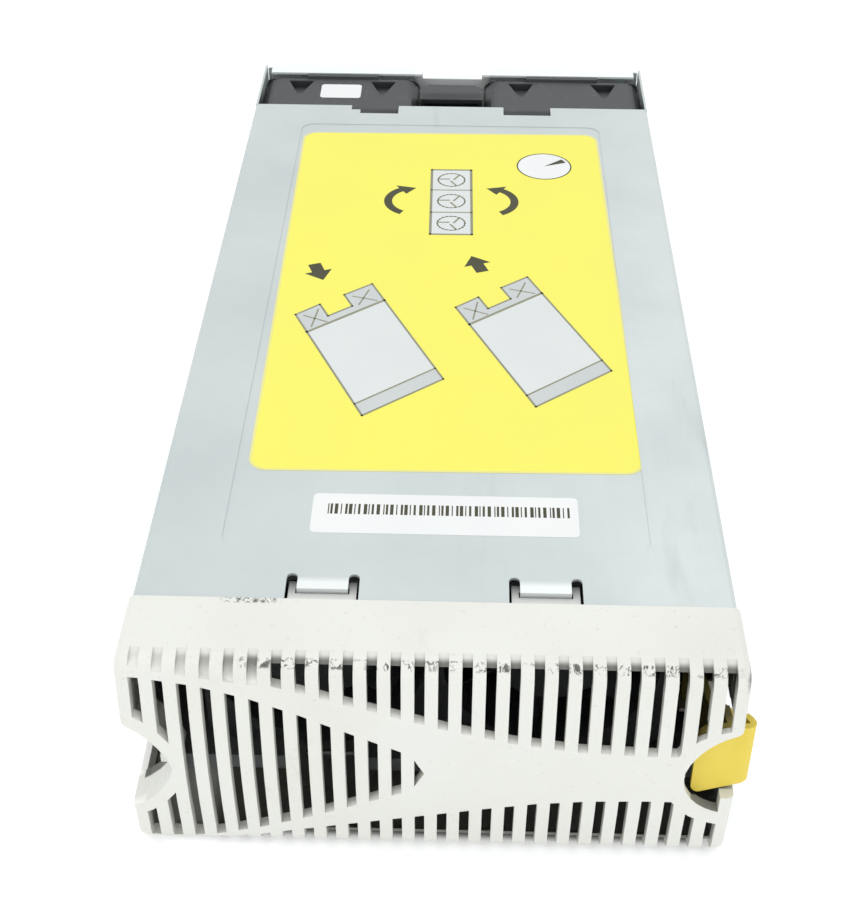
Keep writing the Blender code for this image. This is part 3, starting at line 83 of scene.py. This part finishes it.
# Node-graph helpers
class Graph:
    """A material's node tree with short calls for the nodes used here."""

    def __init__(self, name):
        self.material = bpy.data.materials.new(name)
        self.material.use_nodes = True
        self.tree = self.material.node_tree
        self.shader = self.tree.nodes["Principled BSDF"]
        coordinates = self.add("TexCoord", {}).outputs
        self.place, self.normal = coordinates["Object"], coordinates["Normal"]
        self.base = None

    def fill(self, socket, value):
        if isinstance(value, bpy.types.NodeSocket):
            self.tree.links.new(value, socket)
        else:
            socket.default_value = value

    def add(self, kind, inputs):
        node = self.tree.nodes.new("ShaderNode" + kind)
        for name, value in inputs.items():
            self.fill(node.inputs[name], value)
        return node

    def mapped(self, scale=(1.0, 1.0, 1.0), turn=(0.0, 0.0, 0.0)):
        node = self.add("Mapping", {"Vector": self.place, "Scale": scale, "Rotation": turn})
        return node.outputs["Vector"]

    def noise(self, scale, detail=3.0, rough=0.5, vector=None, distortion=0.0):
        node = self.add("TexNoise", {"Scale": scale, "Detail": detail, "Roughness": rough,
                                     "Distortion": distortion, "Vector": vector or self.place})
        return node.outputs["Fac"]

    def cells(self, scale):
        """One random value for each cell of a Voronoi pattern."""
        node = self.add("TexVoronoi", {"Scale": scale, "Vector": self.place})
        return self.add("SeparateColor", {"Color": node.outputs["Color"]}).outputs["Red"]

    def wave(self, scale, vector):
        return self.add("TexWave", {"Scale": scale, "Vector": vector}).outputs["Fac"]

    def span(self, value, low, high, to_low=0.0, to_high=1.0, smooth=False):
        node = self.add("MapRange", {"Value": value, "From Min": low, "From Max": high,
                                     "To Min": to_low, "To Max": to_high})
        node.interpolation_type = "SMOOTHSTEP" if smooth else "LINEAR"
        return node.outputs["Result"]

    def window(self, value, low, high, soft):
        """1 between low and high, fading to 0 over the soft width on both sides."""
        rise = self.span(value, low - soft, low, 0.0, 1.0, True)
        fall = self.span(value, high, high + soft, 1.0, 0.0, True)
        return self.times(rise, fall)

    def maths(self, operation, *values):
        node = self.add("Math", dict(enumerate(values)))
        node.operation = operation
        return node.outputs["Value"]

    def times(self, *values):
        result = values[0]
        for value in values[1:]:
            result = self.maths("MULTIPLY", result, value)
        return result

    def offset(self, value, middle):
        """How far the value is from the middle, on either side."""
        return self.maths("ABSOLUTE", self.maths("SUBTRACT", value, middle))

    def distance(self, centre):
        """Distance from the line along X through centre, which is (y, z)."""
        _, y, z = self.axes()
        along = self.maths("SUBTRACT", y, centre[0])
        above = self.maths("SUBTRACT", z, centre[1])
        squares = self.maths("ADD", self.times(along, along), self.times(above, above))
        return self.maths("SQRT", squares)

    def axes(self, vector=None):
        outputs = self.add("SeparateXYZ", {"Vector": vector or self.place}).outputs
        return outputs["X"], outputs["Y"], outputs["Z"]

    def mix(self, amount, first, second):
        node = self.tree.nodes.new("ShaderNodeMix")
        node.data_type = "RGBA"
        self.fill(node.inputs["Factor"], amount)
        self.fill(node.inputs[6], opaque(first))
        self.fill(node.inputs[7], opaque(second))
        return node.outputs[2]

    def paint(self, colour, *masks):
        """Lays a colour over the base where every mask is 1; a number is its strength."""
        self.base = self.mix(self.times(*masks), self.base, colour)

    def set(self, name, value):
        self.fill(self.shader.inputs[name], value)

    def surface(self, roughness, height, strength, distance):
        """Joins the base colour, the roughness and a bump map to the shader."""
        node = self.add("Bump", {"Strength": strength, "Distance": distance, "Height": height})
        self.set("Normal", node.outputs["Normal"])
        self.set("Base Color", self.base)
        self.set("Roughness", roughness)
        return self.material


def opaque(colour):
    if isinstance(colour, tuple) and len(colour) == 3:
        return (*colour, 1.0)
    return colour


# Materials
def sheet_metal(name, tone=1.0, shade=0.85, rim=0.0):
    """Dull zinc-coated sheet; shade sets the painted shade on the faces inside, rim the painted
    highlights on a top flange.
    """
    g = Graph(name)
    light = tuple(c * tone for c in (0.558, 0.609, 0.60))
    dull = tuple(c * tone for c in (0.493, 0.544, 0.539))
    dirty = tuple(c * tone for c in (0.33, 0.37, 0.37))
    cloud = g.noise(16.0, 4.0, 0.55)
    spangle = g.cells(260.0)
    g.base = g.mix(g.span(cloud, 0.35, 0.68), light, dull)
    g.paint(dull, g.span(spangle, 0.0, 1.0, 0.0, 0.10))
    streak = g.noise(46.0, 6.0, 0.62, g.mapped((1.0, 0.16, 1.0)), 0.4)
    rub = g.noise(9.0, 2.0)
    g.paint(dirty, g.span(streak, 0.60, 0.74, 0.0, 1.0, True),
            g.span(rub, 0.48, 0.62, 0.0, 0.34, True))
    x, y, z = g.axes()
    # faces inside the tray lie in shade, which fades towards the rear wall
    g.paint((0.055, 0.060, 0.052), g.window(x, -PAN_SIDE, PAN_SIDE, 0.0002),
            g.span(y, -0.1584, -0.1580), g.span(y, 0.160, 0.176, 1.0, 0.0),
            g.window(z, PAN_FLOOR, COVER_UNDER, 0.0003), shade)
    # painted highlight on the front edges of the cover's snap tabs
    off_tab = g.offset(g.maths("ABSOLUTE", x), TAB_MIDDLE)
    g.paint((0.80, 0.83, 0.82), g.span(y, -0.1535, -0.1560), g.span(off_tab, 0.0088, 0.0080),
            g.span(z, 0.0700, 0.0705), 0.8)
    # the rear wall's top flange, and its inner face over the connector, catch the light
    g.paint((0.86, 0.91, 0.90), g.span(z, 0.0722, 0.0728), rim)
    g.paint((0.93, 0.95, 0.95), g.window(x, -0.0165, 0.0165, 0.001), g.span(z, 0.058, 0.064),
            g.span(y, 0.1928, 0.1925), rim)
    g.set("Metallic", 0.3)
    hairline = g.noise(900.0, 2.0, 0.5, g.mapped((1.0, 0.03, 1.0)))
    gloss = g.maths("ADD", g.times(cloud, 0.6), g.times(hairline, 0.4))
    relief = g.maths("ADD", g.times(hairline, 0.4), g.times(spangle, 0.25))
    return g.surface(g.span(gloss, 0.3, 0.7, 0.34, 0.52), relief, 0.25, 0.00004)


def cream_plastic():
    """Scuffed cream moulding, with the grille's shade and grime."""
    g = Graph("cream_plastic")
    grime_and_shade = (0.055, 0.052, 0.045)
    cloud = g.noise(22.0, 4.0)
    clean, aged = (0.684, 0.688, 0.645), (0.645, 0.649, 0.593)
    g.base = g.mix(g.span(cloud, 0.40, 0.70, 0.0, 0.8), clean, aged)
    g.paint((0.45, 0.43, 0.38), g.span(g.noise(700.0, 2.0), 0.66, 0.74, 0.0, 0.30))
    x, y, z = g.axes()
    # rubbed marks on the ribs' upper ends and at the rear rim
    scuff = g.noise(430.0, 5.0, 0.7, g.mapped((1.0, 0.6, 0.6)), 2.0)
    ribs = g.times(g.window(y, -0.1893, -0.1873, 0.0006), g.window(x, -0.046, 0.074, 0.014),
                   g.window(z, 0.0705, 0.080, 0.001), g.span(g.noise(150.0, 1.0), 0.36, 0.50))
    rim = g.times(g.window(y, -0.1652, -0.160, 0.0012), g.window(x, -0.058, -0.046, 0.004),
                  g.window(z, 0.072, 0.080, 0.001))
    g.paint(grime_and_shade, g.span(scuff, 0.51, 0.58, 0.0, 1.0, True), g.maths("ADD", ribs, rim), 0.92)
    # painted shade greys the snap arms where they reach under the cover, darker further under it
    cover_shade = g.mix(g.span(y, -0.1545, -0.1610), (0.06, 0.065, 0.06), (0.60, 0.605, 0.59))
    g.paint(cover_shade, g.span(y, -0.1640, -0.1636), g.span(z, 0.066, 0.068))
    # faces behind the bowed front wall lie in shade, but light gets in by the left notch
    radius = g.distance(BOW_CENTRE)
    behind = g.span(radius, BOW_INNER - 0.0006, BOW_INNER, 1.0, 0.0, True)
    between = g.window(z, BEZEL_LOW, BEZEL_HIGH, 0.0003)
    off_notch = g.span(g.offset(z, 0.0315), 0.0150, 0.0165)
    notch_end = -0.062
    g.paint((0.045, 0.047, 0.036), behind, g.window(x, notch_end, BEZEL_SIDE, 0.006), between, 0.9)
    g.paint((0.10, 0.105, 0.08), behind, g.window(x, -BEZEL_SIDE, notch_end, 0.001), off_notch,
            between, 0.45)
    # the left notch gets painted shade at its rear, and a painted highlight on its outer ledge
    g.paint((0.045, 0.047, 0.034), g.span(y, -0.1832, -0.1824),
            g.window(z, 0.0150, 0.0300, 0.0010), g.window(x, -0.0844, -0.0755, 0.0003), 0.93)
    g.paint((0.93, 0.93, 0.90), g.span(y, -0.1815, -0.1795),
            g.window(z, 0.0160, 0.0172, 0.0004), g.span(x, -0.0845, -0.0848), 0.9)
    # slot ends that face upwards are rounded off and get a painted highlight, but the lower lip of
    # the lever's notch gets painted shade
    level = g.axes(g.normal)[2]
    outwards = g.span(radius, BOW_INNER - 0.0001, BOW_INNER + 0.0021, 0.1, 1.0)
    g.paint((0.95, 0.95, 0.91), g.span(level, 0.80, 0.88), outwards,
            g.window(z, 0.0130, 0.0650, 0.0010), g.span(radius, BOW_INNER - 0.0002, BOW_INNER),
            g.span(x, 0.0700, 0.0690))
    g.paint((0.09, 0.09, 0.065), g.span(level, 0.50, 0.60),
            g.window(x, 0.0700, BEZEL_SIDE, 0.0003), g.window(z, 0.0100, 0.0262, 0.0005),
            g.span(radius, BOW_INNER - 0.0011, BOW_INNER - 0.0006), 0.7)
    # painted shade in the grooves above the slots: it thins out to the left and downwards, and the
    # left ones, which no slot opens into, get a painted highlight in their lower part
    under_edge = g.span(g.distance(EDGE_CENTRE), EDGE_INNER, EDGE_INNER + 0.0004, 1.0, 0.0)
    groove = g.times(under_edge, g.window(z, 0.0665, 0.0745, 0.0005),
                     g.window(y, -0.1925, -0.1840, 0.0005))
    fade = g.times(g.span(z, 0.0731, 0.0717, 0.0, 1.0, True),
                   g.span(z, 0.0672, 0.0712, 0.15, 1.0))
    g.paint((0.93, 0.935, 0.88), groove, g.window(x, -0.0842, -0.0455, 0.0004),
            g.span(z, 0.0722, 0.0702), 0.9)
    g.paint(grime_and_shade, groove, fade, g.span(x, -0.0815, -0.0475, 0.0, 0.78))
    smear = g.noise(60.0, 6.0, 0.65, g.mapped((1.0, 0.3, 1.0)), 0.6)
    g.paint((0.42, 0.40, 0.35), g.span(smear, 0.62, 0.76, 0.0, 0.22, True))
    g.set("Specular IOR Level", 0.4)
    return g.surface(g.span(cloud, 0.3, 0.7, 0.42, 0.56), g.noise(2600.0, 2.0), 0.35, 0.00006)


def yellow_plastic():
    g = Graph("yellow_plastic")
    cloud = g.noise(55.0, 3.0)
    g.base = g.mix(g.span(cloud, 0.35, 0.7), (0.725, 0.57, 0.08), (0.67, 0.52, 0.065))
    scratch = g.noise(240.0, 5.0, 0.65, g.mapped((1.0, 1.0, 0.12)))
    g.paint((0.80, 0.69, 0.33), g.span(scratch, 0.62, 0.72, 0.0, 0.35, True))
    x, y, z = g.axes()
    # the arm behind the finger plate and the plate's upper inner corner lie in shade
    g.paint((0.06, 0.055, 0.02), g.span(y, -0.1870, -0.1845), g.span(x, 0.0862, 0.0850), 0.9)
    g.paint((0.16, 0.14, 0.06), g.span(z, 0.0480, 0.0488), g.span(x, 0.0850, 0.0840), 0.7)
    g.set("Specular IOR Level", 0.3)
    return g.surface(g.span(scratch, 0.3, 0.7, 0.42, 0.60), g.noise(2100.0, 2.0), 0.25, 0.00004)


def black_plastic():
    g = Graph("black_plastic")
    cloud = g.noise(40.0, 4.0)
    g.base = g.mix(g.span(cloud, 0.35, 0.7), (0.033, 0.037, 0.038), (0.049, 0.053, 0.054))
    g.paint((0.16, 0.16, 0.155), g.span(g.noise(300.0, 6.0, 0.7), 0.56, 0.72, 0.0, 0.30, True))
    x, y, z = g.axes()
    high = g.span(z, 0.066, 0.068)
    # shade along the cover's rear edge and in its two notches
    g.paint((0.004, 0.004, 0.005), g.span(y, 0.1530, 0.1506), high, 0.9)
    # painted shade in the pockets and on the sides of the rear fans, and on the front of the
    # connector's block
    recess_shade = (0.006, 0.007, 0.008)
    g.paint(recess_shade, g.span(z, 0.0712, 0.0706), g.span(y, 0.148, 0.150), 0.65)
    g.paint(recess_shade, g.span(y, 0.1680, 0.1655), g.window(x, -0.0130, 0.0130, 0.0005), high, 0.8)
    g.set("Specular IOR Level", 0.6)
    return g.surface(g.span(cloud, 0.3, 0.7, 0.42, 0.58), g.noise(1800.0, 2.0), 0.4, 0.00006)


def zinc_steel():
    g = Graph("zinc_steel")
    brushed = g.noise(500.0, 4.0, 0.6, g.mapped((1.0, 1.0, 0.1)))
    g.base = g.mix(g.span(brushed, 0.3, 0.7), (0.60, 0.59, 0.56), (0.46, 0.46, 0.45))
    g.set("Metallic", 0.9)
    return g.surface(g.span(brushed, 0.3, 0.7, 0.26, 0.44), brushed, 0.2, 0.00004)


def woven_sleeve():
    g = Graph("woven_sleeve")
    threads = [g.wave(420.0, g.mapped(turn=turn)) for turn in ((0.0, 0.0, 0.0), (0.9, 0.7, 1.57))]
    weave = g.times(*threads)
    g.base = g.mix(g.span(weave, 0.1, 0.8), (0.018, 0.018, 0.020), (0.075, 0.075, 0.078))
    return g.surface(g.span(weave, 0.0, 1.0, 0.5, 0.72), weave, 0.5, 0.0002)


def white_nylon():
    g = Graph("white_nylon")
    cloud = g.noise(80.0, 3.0)
    g.base = g.mix(g.span(cloud, 0.35, 0.7), (0.78, 0.77, 0.72), (0.70, 0.68, 0.61))
    g.set("Subsurface Weight", 0.08)
    return g.surface(g.span(cloud, 0.3, 0.7, 0.35, 0.5), g.noise(1500.0, 2.0), 0.2, 0.00004)


def printed(name, first, second):
    """Coated label stock: faint mottling, a fine fibre and a slightly uneven gloss."""
    g = Graph(name)
    cloud = g.noise(30.0, 3.0)
    fibre = g.noise(1400.0, 3.0)
    g.base = g.mix(g.span(cloud, 0.35, 0.7), first, second)
    g.paint(tuple(c * 0.86 for c in second), g.span(fibre, 0.62, 0.75, 0.0, 0.25))
    g.set("Specular IOR Level", 0.25)
    return g.surface(g.span(cloud, 0.3, 0.7, 0.55, 0.7), fibre, 0.15, 0.00003)


def floor_paint():
    """Pale paint with a faint glow that lifts the shadows as painted light, but none under the
    tray, where painted shadow darkens it.
    """
    g = Graph("studio_floor")
    cloud = g.noise(3.0, 3.0)
    g.base = g.mix(g.span(cloud, 0.3, 0.7), (0.955, 0.96, 0.965), (0.945, 0.95, 0.955))
    x, y, _ = g.axes()
    # painted shadow on the floor under the tray, where the glow is left out too
    under = g.times(g.window(x, -0.078, 0.078, 0.003), g.window(y, -0.1848, 0.188, 0.003))
    g.paint((0.10, 0.10, 0.09), under, 0.85)
    g.set("Base Color", g.base)
    g.set("Roughness", g.span(cloud, 0.3, 0.7, 0.85, 0.95))
    g.set("Emission Color", DAYLIGHT)
    g.set("Emission Strength", g.span(under, 0.0, 1.0, 0.16, 0.0))
    return g.material


kit = {
    "galvanised_sheet": sheet_metal("galvanised_sheet"),
    # a lighter copy of the sheet for the rear panel: its higher tone is painted light, rim adds
    # painted highlights, and it has no painted inside shade
    "bright_sheet": sheet_metal("bright_sheet", tone=1.1, shade=0.0, rim=0.9),
    "cream_plastic": cream_plastic(),
    "yellow_plastic": yellow_plastic(),
    "black_plastic": black_plastic(),
    "zinc_steel": zinc_steel(),
    "black_sleeve": woven_sleeve(),
    "white_nylon": white_nylon(),
}
for stock, first, second in (
    ("label_yellow", (0.785, 0.745, 0.120), (0.770, 0.730, 0.132)),
    ("label_rim", (0.71, 0.68, 0.25), (0.69, 0.66, 0.235)),
    ("label_white", (0.735, 0.745, 0.740), (0.71, 0.72, 0.72)),
    ("print_grey", (0.62, 0.646, 0.64), (0.60, 0.625, 0.62)),
    ("print_shade", (0.515, 0.54, 0.54), (0.49, 0.515, 0.52)),
    ("print_ink", (0.055, 0.055, 0.030), (0.075, 0.075, 0.045)),
    ("print_line", (0.23, 0.235, 0.16), (0.27, 0.27, 0.19)),
):
    kit[stock] = printed(stock, first, second)

for entry in frame["record"]["subparts"]:
    node = nodes[entry["node"]]
    node.data.materials.clear()
    node.data.materials.append(kit[entry["material_slot"]])
# the rear panel gets the lighter copy of the sheet, whose extra brightness is painted light
nodes["rear_panel"].data.materials[0] = kit["bright_sheet"]


# Flat pieces
def finish_piece(name, bm, material):
    bmesh.ops.recalc_face_normals(bm, faces=bm.faces)
    mesh = bpy.data.meshes.new(name)
    bm.to_mesh(mesh)
    bm.free()
    mesh.materials.append(material)
    piece = bpy.data.objects.new(name, mesh)
    bpy.context.scene.collection.objects.link(piece)
    return piece


def plates(name, outlines, bottom, thickness, material):
    """Thin flat plates from closed outlines of (x, y) in millimetres."""
    bm = bmesh.new()
    for outline in outlines:
        low, high = (
            [bm.verts.new((x * MM, y * MM, level)) for x, y in outline]
            for level in (bottom, bottom + thickness)
        )
        bm.faces.new(low)
        bm.faces.new(high)
        for i in range(len(outline)):
            j = (i + 1) % len(outline)
            bm.faces.new((low[i], low[j], high[j], high[i]))
    piece = finish_piece(name, bm, kit[material])
    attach(piece, "tray")
    return piece


def on_circle(centre, radius, angle):
    return centre[0] + radius * cos(angle), centre[1] + radius * sin(angle)


def arc(centre, radius, start, end, steps):
    turn = (end - start) / steps
    return [on_circle(centre, radius, start + turn * i) for i in range(steps + 1)]


def circle(centre, radius, steps):
    """A closed line: its last point is the first one again."""
    return arc(centre, radius, 0.0, 2 * pi, steps)


def rounded(low, high, radius, steps=6):
    """A rectangle between two corners, with rounded corners."""
    (x0, y0), (x1, y1) = low, high
    centres = ((x1 - radius, y1 - radius), (x0 + radius, y1 - radius),
               (x0 + radius, y0 + radius), (x1 - radius, y0 + radius))
    outline = []
    for quarter, centre in enumerate(centres):
        outline += arc(centre, radius, quarter * pi / 2, (quarter + 1) * pi / 2, steps)
    return outline


def stroke(points, width, closed=False):
    """Quads along a line of points, one for each stretch, with square overlaps."""
    quads = []
    for start, end in zip(points, points[1:] + points[:1] if closed else points[1:]):
        a, b = Vector(start), Vector(end)
        along = (b - a).normalized() * width / 2
        side = Vector((-along.y, along.x))
        corners = (a - along - side, b + along - side, b + along + side, a - along + side)
        quads.append([tuple(corner) for corner in corners])
    return quads


def band(inner, outer):
    """Quads between two open lines with the same number of points."""
    return [[inner[i], inner[i + 1], outer[i + 1], outer[i]] for i in range(len(inner) - 1)]


def moved(outlines, dx, dy, turn=0.0, scale=1.0):
    c, s = cos(turn), sin(turn)
    return [
        [(dx + scale * (c * x - s * y), dy + scale * (s * x + c * y)) for x, y in outline]
        for outline in outlines
    ]


# Big yellow label
LABEL_LOW, LABEL_HIGH = (-60.9, SEAT + 59.7), (63.4, SEAT + 290.8)
LABEL_TILT = radians(0.6)
LABEL_RIM = 0.9
LABEL_TOP = RECESS_TOP + PAPER + INK


def askew(outlines):
    """The label was stuck on a little out of true, about its own middle."""
    middle_x, middle_y = (LABEL_LOW[0] + LABEL_HIGH[0]) / 2, (LABEL_LOW[1] + LABEL_HIGH[1]) / 2
    centred = moved(outlines, -middle_x, -middle_y)
    return moved(centred, middle_x, middle_y, LABEL_TILT)


def pictogram(name, shapes, layer, material):
    return plates(name, askew(shapes), LABEL_TOP + layer * INK, INK, material)


print_low = (LABEL_LOW[0] + LABEL_RIM, LABEL_LOW[1] + LABEL_RIM)
print_high = (LABEL_HIGH[0] - LABEL_RIM, LABEL_HIGH[1] - LABEL_RIM)
plates("yellow_label_rim", askew([rounded(LABEL_LOW, LABEL_HIGH, 6.0)]),
       RECESS_TOP, PAPER, "label_rim")
plates("yellow_label_print", askew([rounded(print_low, print_high, 5.2)]),
       RECESS_TOP + PAPER, INK, "label_yellow")


def open_case(dx, dy, turn, size):
    """An open case seen at a slant, as its top, its front and bay, and its lines."""
    top = [(-18, -34), (20, -24), (20, 30), (-18, 20)]
    front = [(-18, -34), (-18, -42), (20, -32), (20, -24)]
    bay_rear = [(20, 44), (6, 40.5), (6, 31), (-6, 27.8), (-6, 37.5), (-18, 34)]
    bay = [(-18, 20), (20, 30)] + bay_rear
    lines = stroke([(-18, -42), (20, -32)] + bay_rear, 0.9, True)
    for start, end, width in (
        ((-18, -34), (20, -24), 0.8), ((-18, 20), (20, 30), 1.3),
        ((-15, 23), (-8, 34), 0.7), ((9, 31), (17, 40), 0.7),
        ((-8, 24), (-15, 32), 0.7), ((17, 31), (9, 38), 0.7),
    ):
        lines += stroke([start, end], width)
    return [moved(shapes, dx, dy, turn, size) for shapes in ([top], [front, bay], lines)]


for side, dx, dy in (("first", -27.0, SEAT + 128.0), ("second", 30.0, SEAT + 134.0)):
    top, sides, lines = open_case(dx, dy, radians(24), 0.86)
    pictogram(f"pictogram_{side}_top", top, 0, "print_grey")
    pictogram(f"pictogram_{side}_sides", sides, 0, "print_shade")
    pictogram(f"pictogram_{side}_lines", lines, 1, "print_line")


def short_arrow(dx, dy, turn):
    head = [(0, 6.5), (-5.2, 0), (-2.4, 0), (-2.4, -5.5), (2.4, -5.5), (2.4, 0), (5.2, 0)]
    return moved([head], dx, dy, turn)


# Bank of three fans between two turning arrows
STRIP_MIDDLE = (2.0, SEAT + 232.0)
strip = [(-8.0, -26.0), (8.0, -26.0), (8.0, 26.0), (-8.0, 26.0)]
bays = stroke([(-8, -9), (8, -9)], 0.7) + stroke([(-8, 9), (8, 9)], 0.7) + stroke(strip, 1.0, True)
for fan_y in (-17.5, 0.0, 17.5):
    hub = (0.0, fan_y)
    bays += stroke(circle(hub, 5.4, 20), 0.6)
    for blade in range(3):
        angle = blade * 2 * pi / 3 + 0.4
        bays += stroke([on_circle(hub, 1.2, angle), on_circle(hub, 4.6, angle + 0.5)], 0.8)
pictogram("pictogram_strip", moved([strip], *STRIP_MIDDLE), 0, "print_grey")
pictogram("pictogram_strip_lines", moved(bays, *STRIP_MIDDLE), 1, "print_line")

turning = []
for sign, start, end in ((-1, radians(242), radians(122)), (1, radians(-62), radians(58))):
    centre = (STRIP_MIDDLE[0] + sign * 14.5, STRIP_MIDDLE[1])
    turning += band(arc(centre, 9.0, start, end, 14), arc(centre, 12.2, start, end, 14))
    tip = on_circle(centre, 10.6, end + sign * radians(34))
    turning.append([on_circle(centre, 6.6, end), on_circle(centre, 14.6, end), tip])
pictogram("pictogram_turning_arrows", turning, 0, "print_ink")

short_arrows = (short_arrow(-47.0, SEAT + 178.0, radians(200))
                + short_arrow(12.0, SEAT + 184.0, radians(20)))
pictogram("pictogram_short_arrows", short_arrows, 0, "print_ink")

# Round dial with a wedge, in place of anything that says more
DIAL_MIDDLE = (40.0, SEAT + 262.0)
dial = circle(DIAL_MIDDLE, 11.0, 40)
wedge = [(0.0, 0.0)] + arc((0.0, 0.0), 9.6, radians(80), radians(100), 4)
pictogram("pictogram_dial", [dial[:-1]], 0, "label_white")
pictogram("pictogram_dial_marks", moved([wedge], *DIAL_MIDDLE, radians(-60)) + stroke(dial, 0.5),
          1, "print_ink")

# White label
WHITE_LOW, WHITE_HIGH = (-37.8, SEAT + 29.9), (42.8, SEAT + 48.2)
BARS_Y = (SEAT + 38.6, SEAT + 43.4)


def uneven_bars(left, right):
    """Upright bars of made-up widths and gaps."""
    bars, number = [], 0
    low, high = BARS_Y
    while left < right:
        width = 0.34 + 0.34 * ((number * 7) % 3)
        bars.append([(left, low), (left + width, low), (left + width, high), (left, high)])
        left += width + 0.42 + 0.30 * ((number * 5) % 4) / 1.5
        number += 1
    return bars


plates("white_label", [rounded(WHITE_LOW, WHITE_HIGH, 1.6, 4)], RECESS_TOP, PAPER, "label_white")
plates("white_label_bars", uneven_bars(WHITE_LOW[0] + 4.8, WHITE_HIGH[0] - 3.2),
       RECESS_TOP + PAPER, INK, "print_ink")

# Small sticker on the left rear fan
STICKER_LOW, STICKER_HIGH = (-58.5, SEAT + 326.4), (-40.5, SEAT + 339.9)
STICKER_GAP = 0.02 * MM
fan_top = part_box("rear_left_fan_frame")[1][2]
plates("fan_sticker", [rounded(STICKER_LOW, STICKER_HIGH, 1.6, 4)], fan_top + STICKER_GAP, PAPER,
       "label_white")


# Camera: fitted to the straight edges of the photograph
CAMERA_PLACE = Vector((6.35, -494.05, 384.4)) * MM
YAW, PITCH, ROLL = radians(1.45), radians(37.84), radians(0.21)
LENS, SENSOR = 64.0, 36.0  # 1600 pixels in a picture 900 pixels high


def make_camera():
    turn = Matrix.Rotation(YAW, 3, "Z")
    forward = turn @ Vector((0.0, cos(PITCH), -sin(PITCH)))
    right = turn @ Vector((1.0, 0.0, 0.0))
    up = right.cross(forward)
    axes = cos(ROLL) * right + sin(ROLL) * up, cos(ROLL) * up - sin(ROLL) * right, -forward
    data = bpy.data.cameras.new("camera")
    data.lens = LENS
    data.sensor_width = SENSOR
    data.clip_start = 0.01
    data.clip_end = 20.0
    camera = bpy.data.objects.new("camera", data)
    bpy.context.scene.collection.objects.link(camera)
    camera.matrix_world = Matrix.Translation(CAMERA_PLACE) @ Matrix(axes).transposed().to_4x4()
    bpy.context.scene.camera = camera


# Studio
FLOOR_HALF_SIZE = 4.0
FLOOR_GAP = 0.3 * MM
SKY_STRENGTH = 0.885
LIGHTS = (  # name, place, aim, size, watts
    ("key_light", (-0.5, -0.2, 1.5), (0.0, 0.0, 0.0), 1.4, 8.8),
    ("rear_light", (0.5, 0.9, 1.3), (0.0, 0.05, 0.0), 1.0, 2.9),
    ("front_light", (0.4, -1.6, 0.7), (0.0, -0.1, 0.03), 1.2, 4.2),
)


def make_studio():
    bm = bmesh.new()
    bmesh.ops.create_grid(bm, x_segments=1, y_segments=1, size=FLOOR_HALF_SIZE)
    floor = finish_piece("studio_floor", bm, floor_paint())
    floor.location = (0.0, 0.0, cad_box[0][2] - FLOOR_GAP)

    world = bpy.data.worlds.new("studio")
    world.use_nodes = True
    background = world.node_tree.nodes["Background"]
    background.inputs["Color"].default_value = DAYLIGHT
    background.inputs["Strength"].default_value = SKY_STRENGTH
    bpy.context.scene.world = world

    for name, place, aim, size, watts in LIGHTS:
        data = bpy.data.lights.new(name, "AREA")
        data.size = size
        data.energy = watts
        lamp = bpy.data.objects.new(name, data)
        bpy.context.scene.collection.objects.link(lamp)
        lamp.location = place
        lamp.rotation_euler = (Vector(aim) - Vector(place)).to_track_quat("-Z", "Y").to_euler()
    bpy.context.scene.view_settings.view_transform = "Standard"


make_camera()
make_studio()
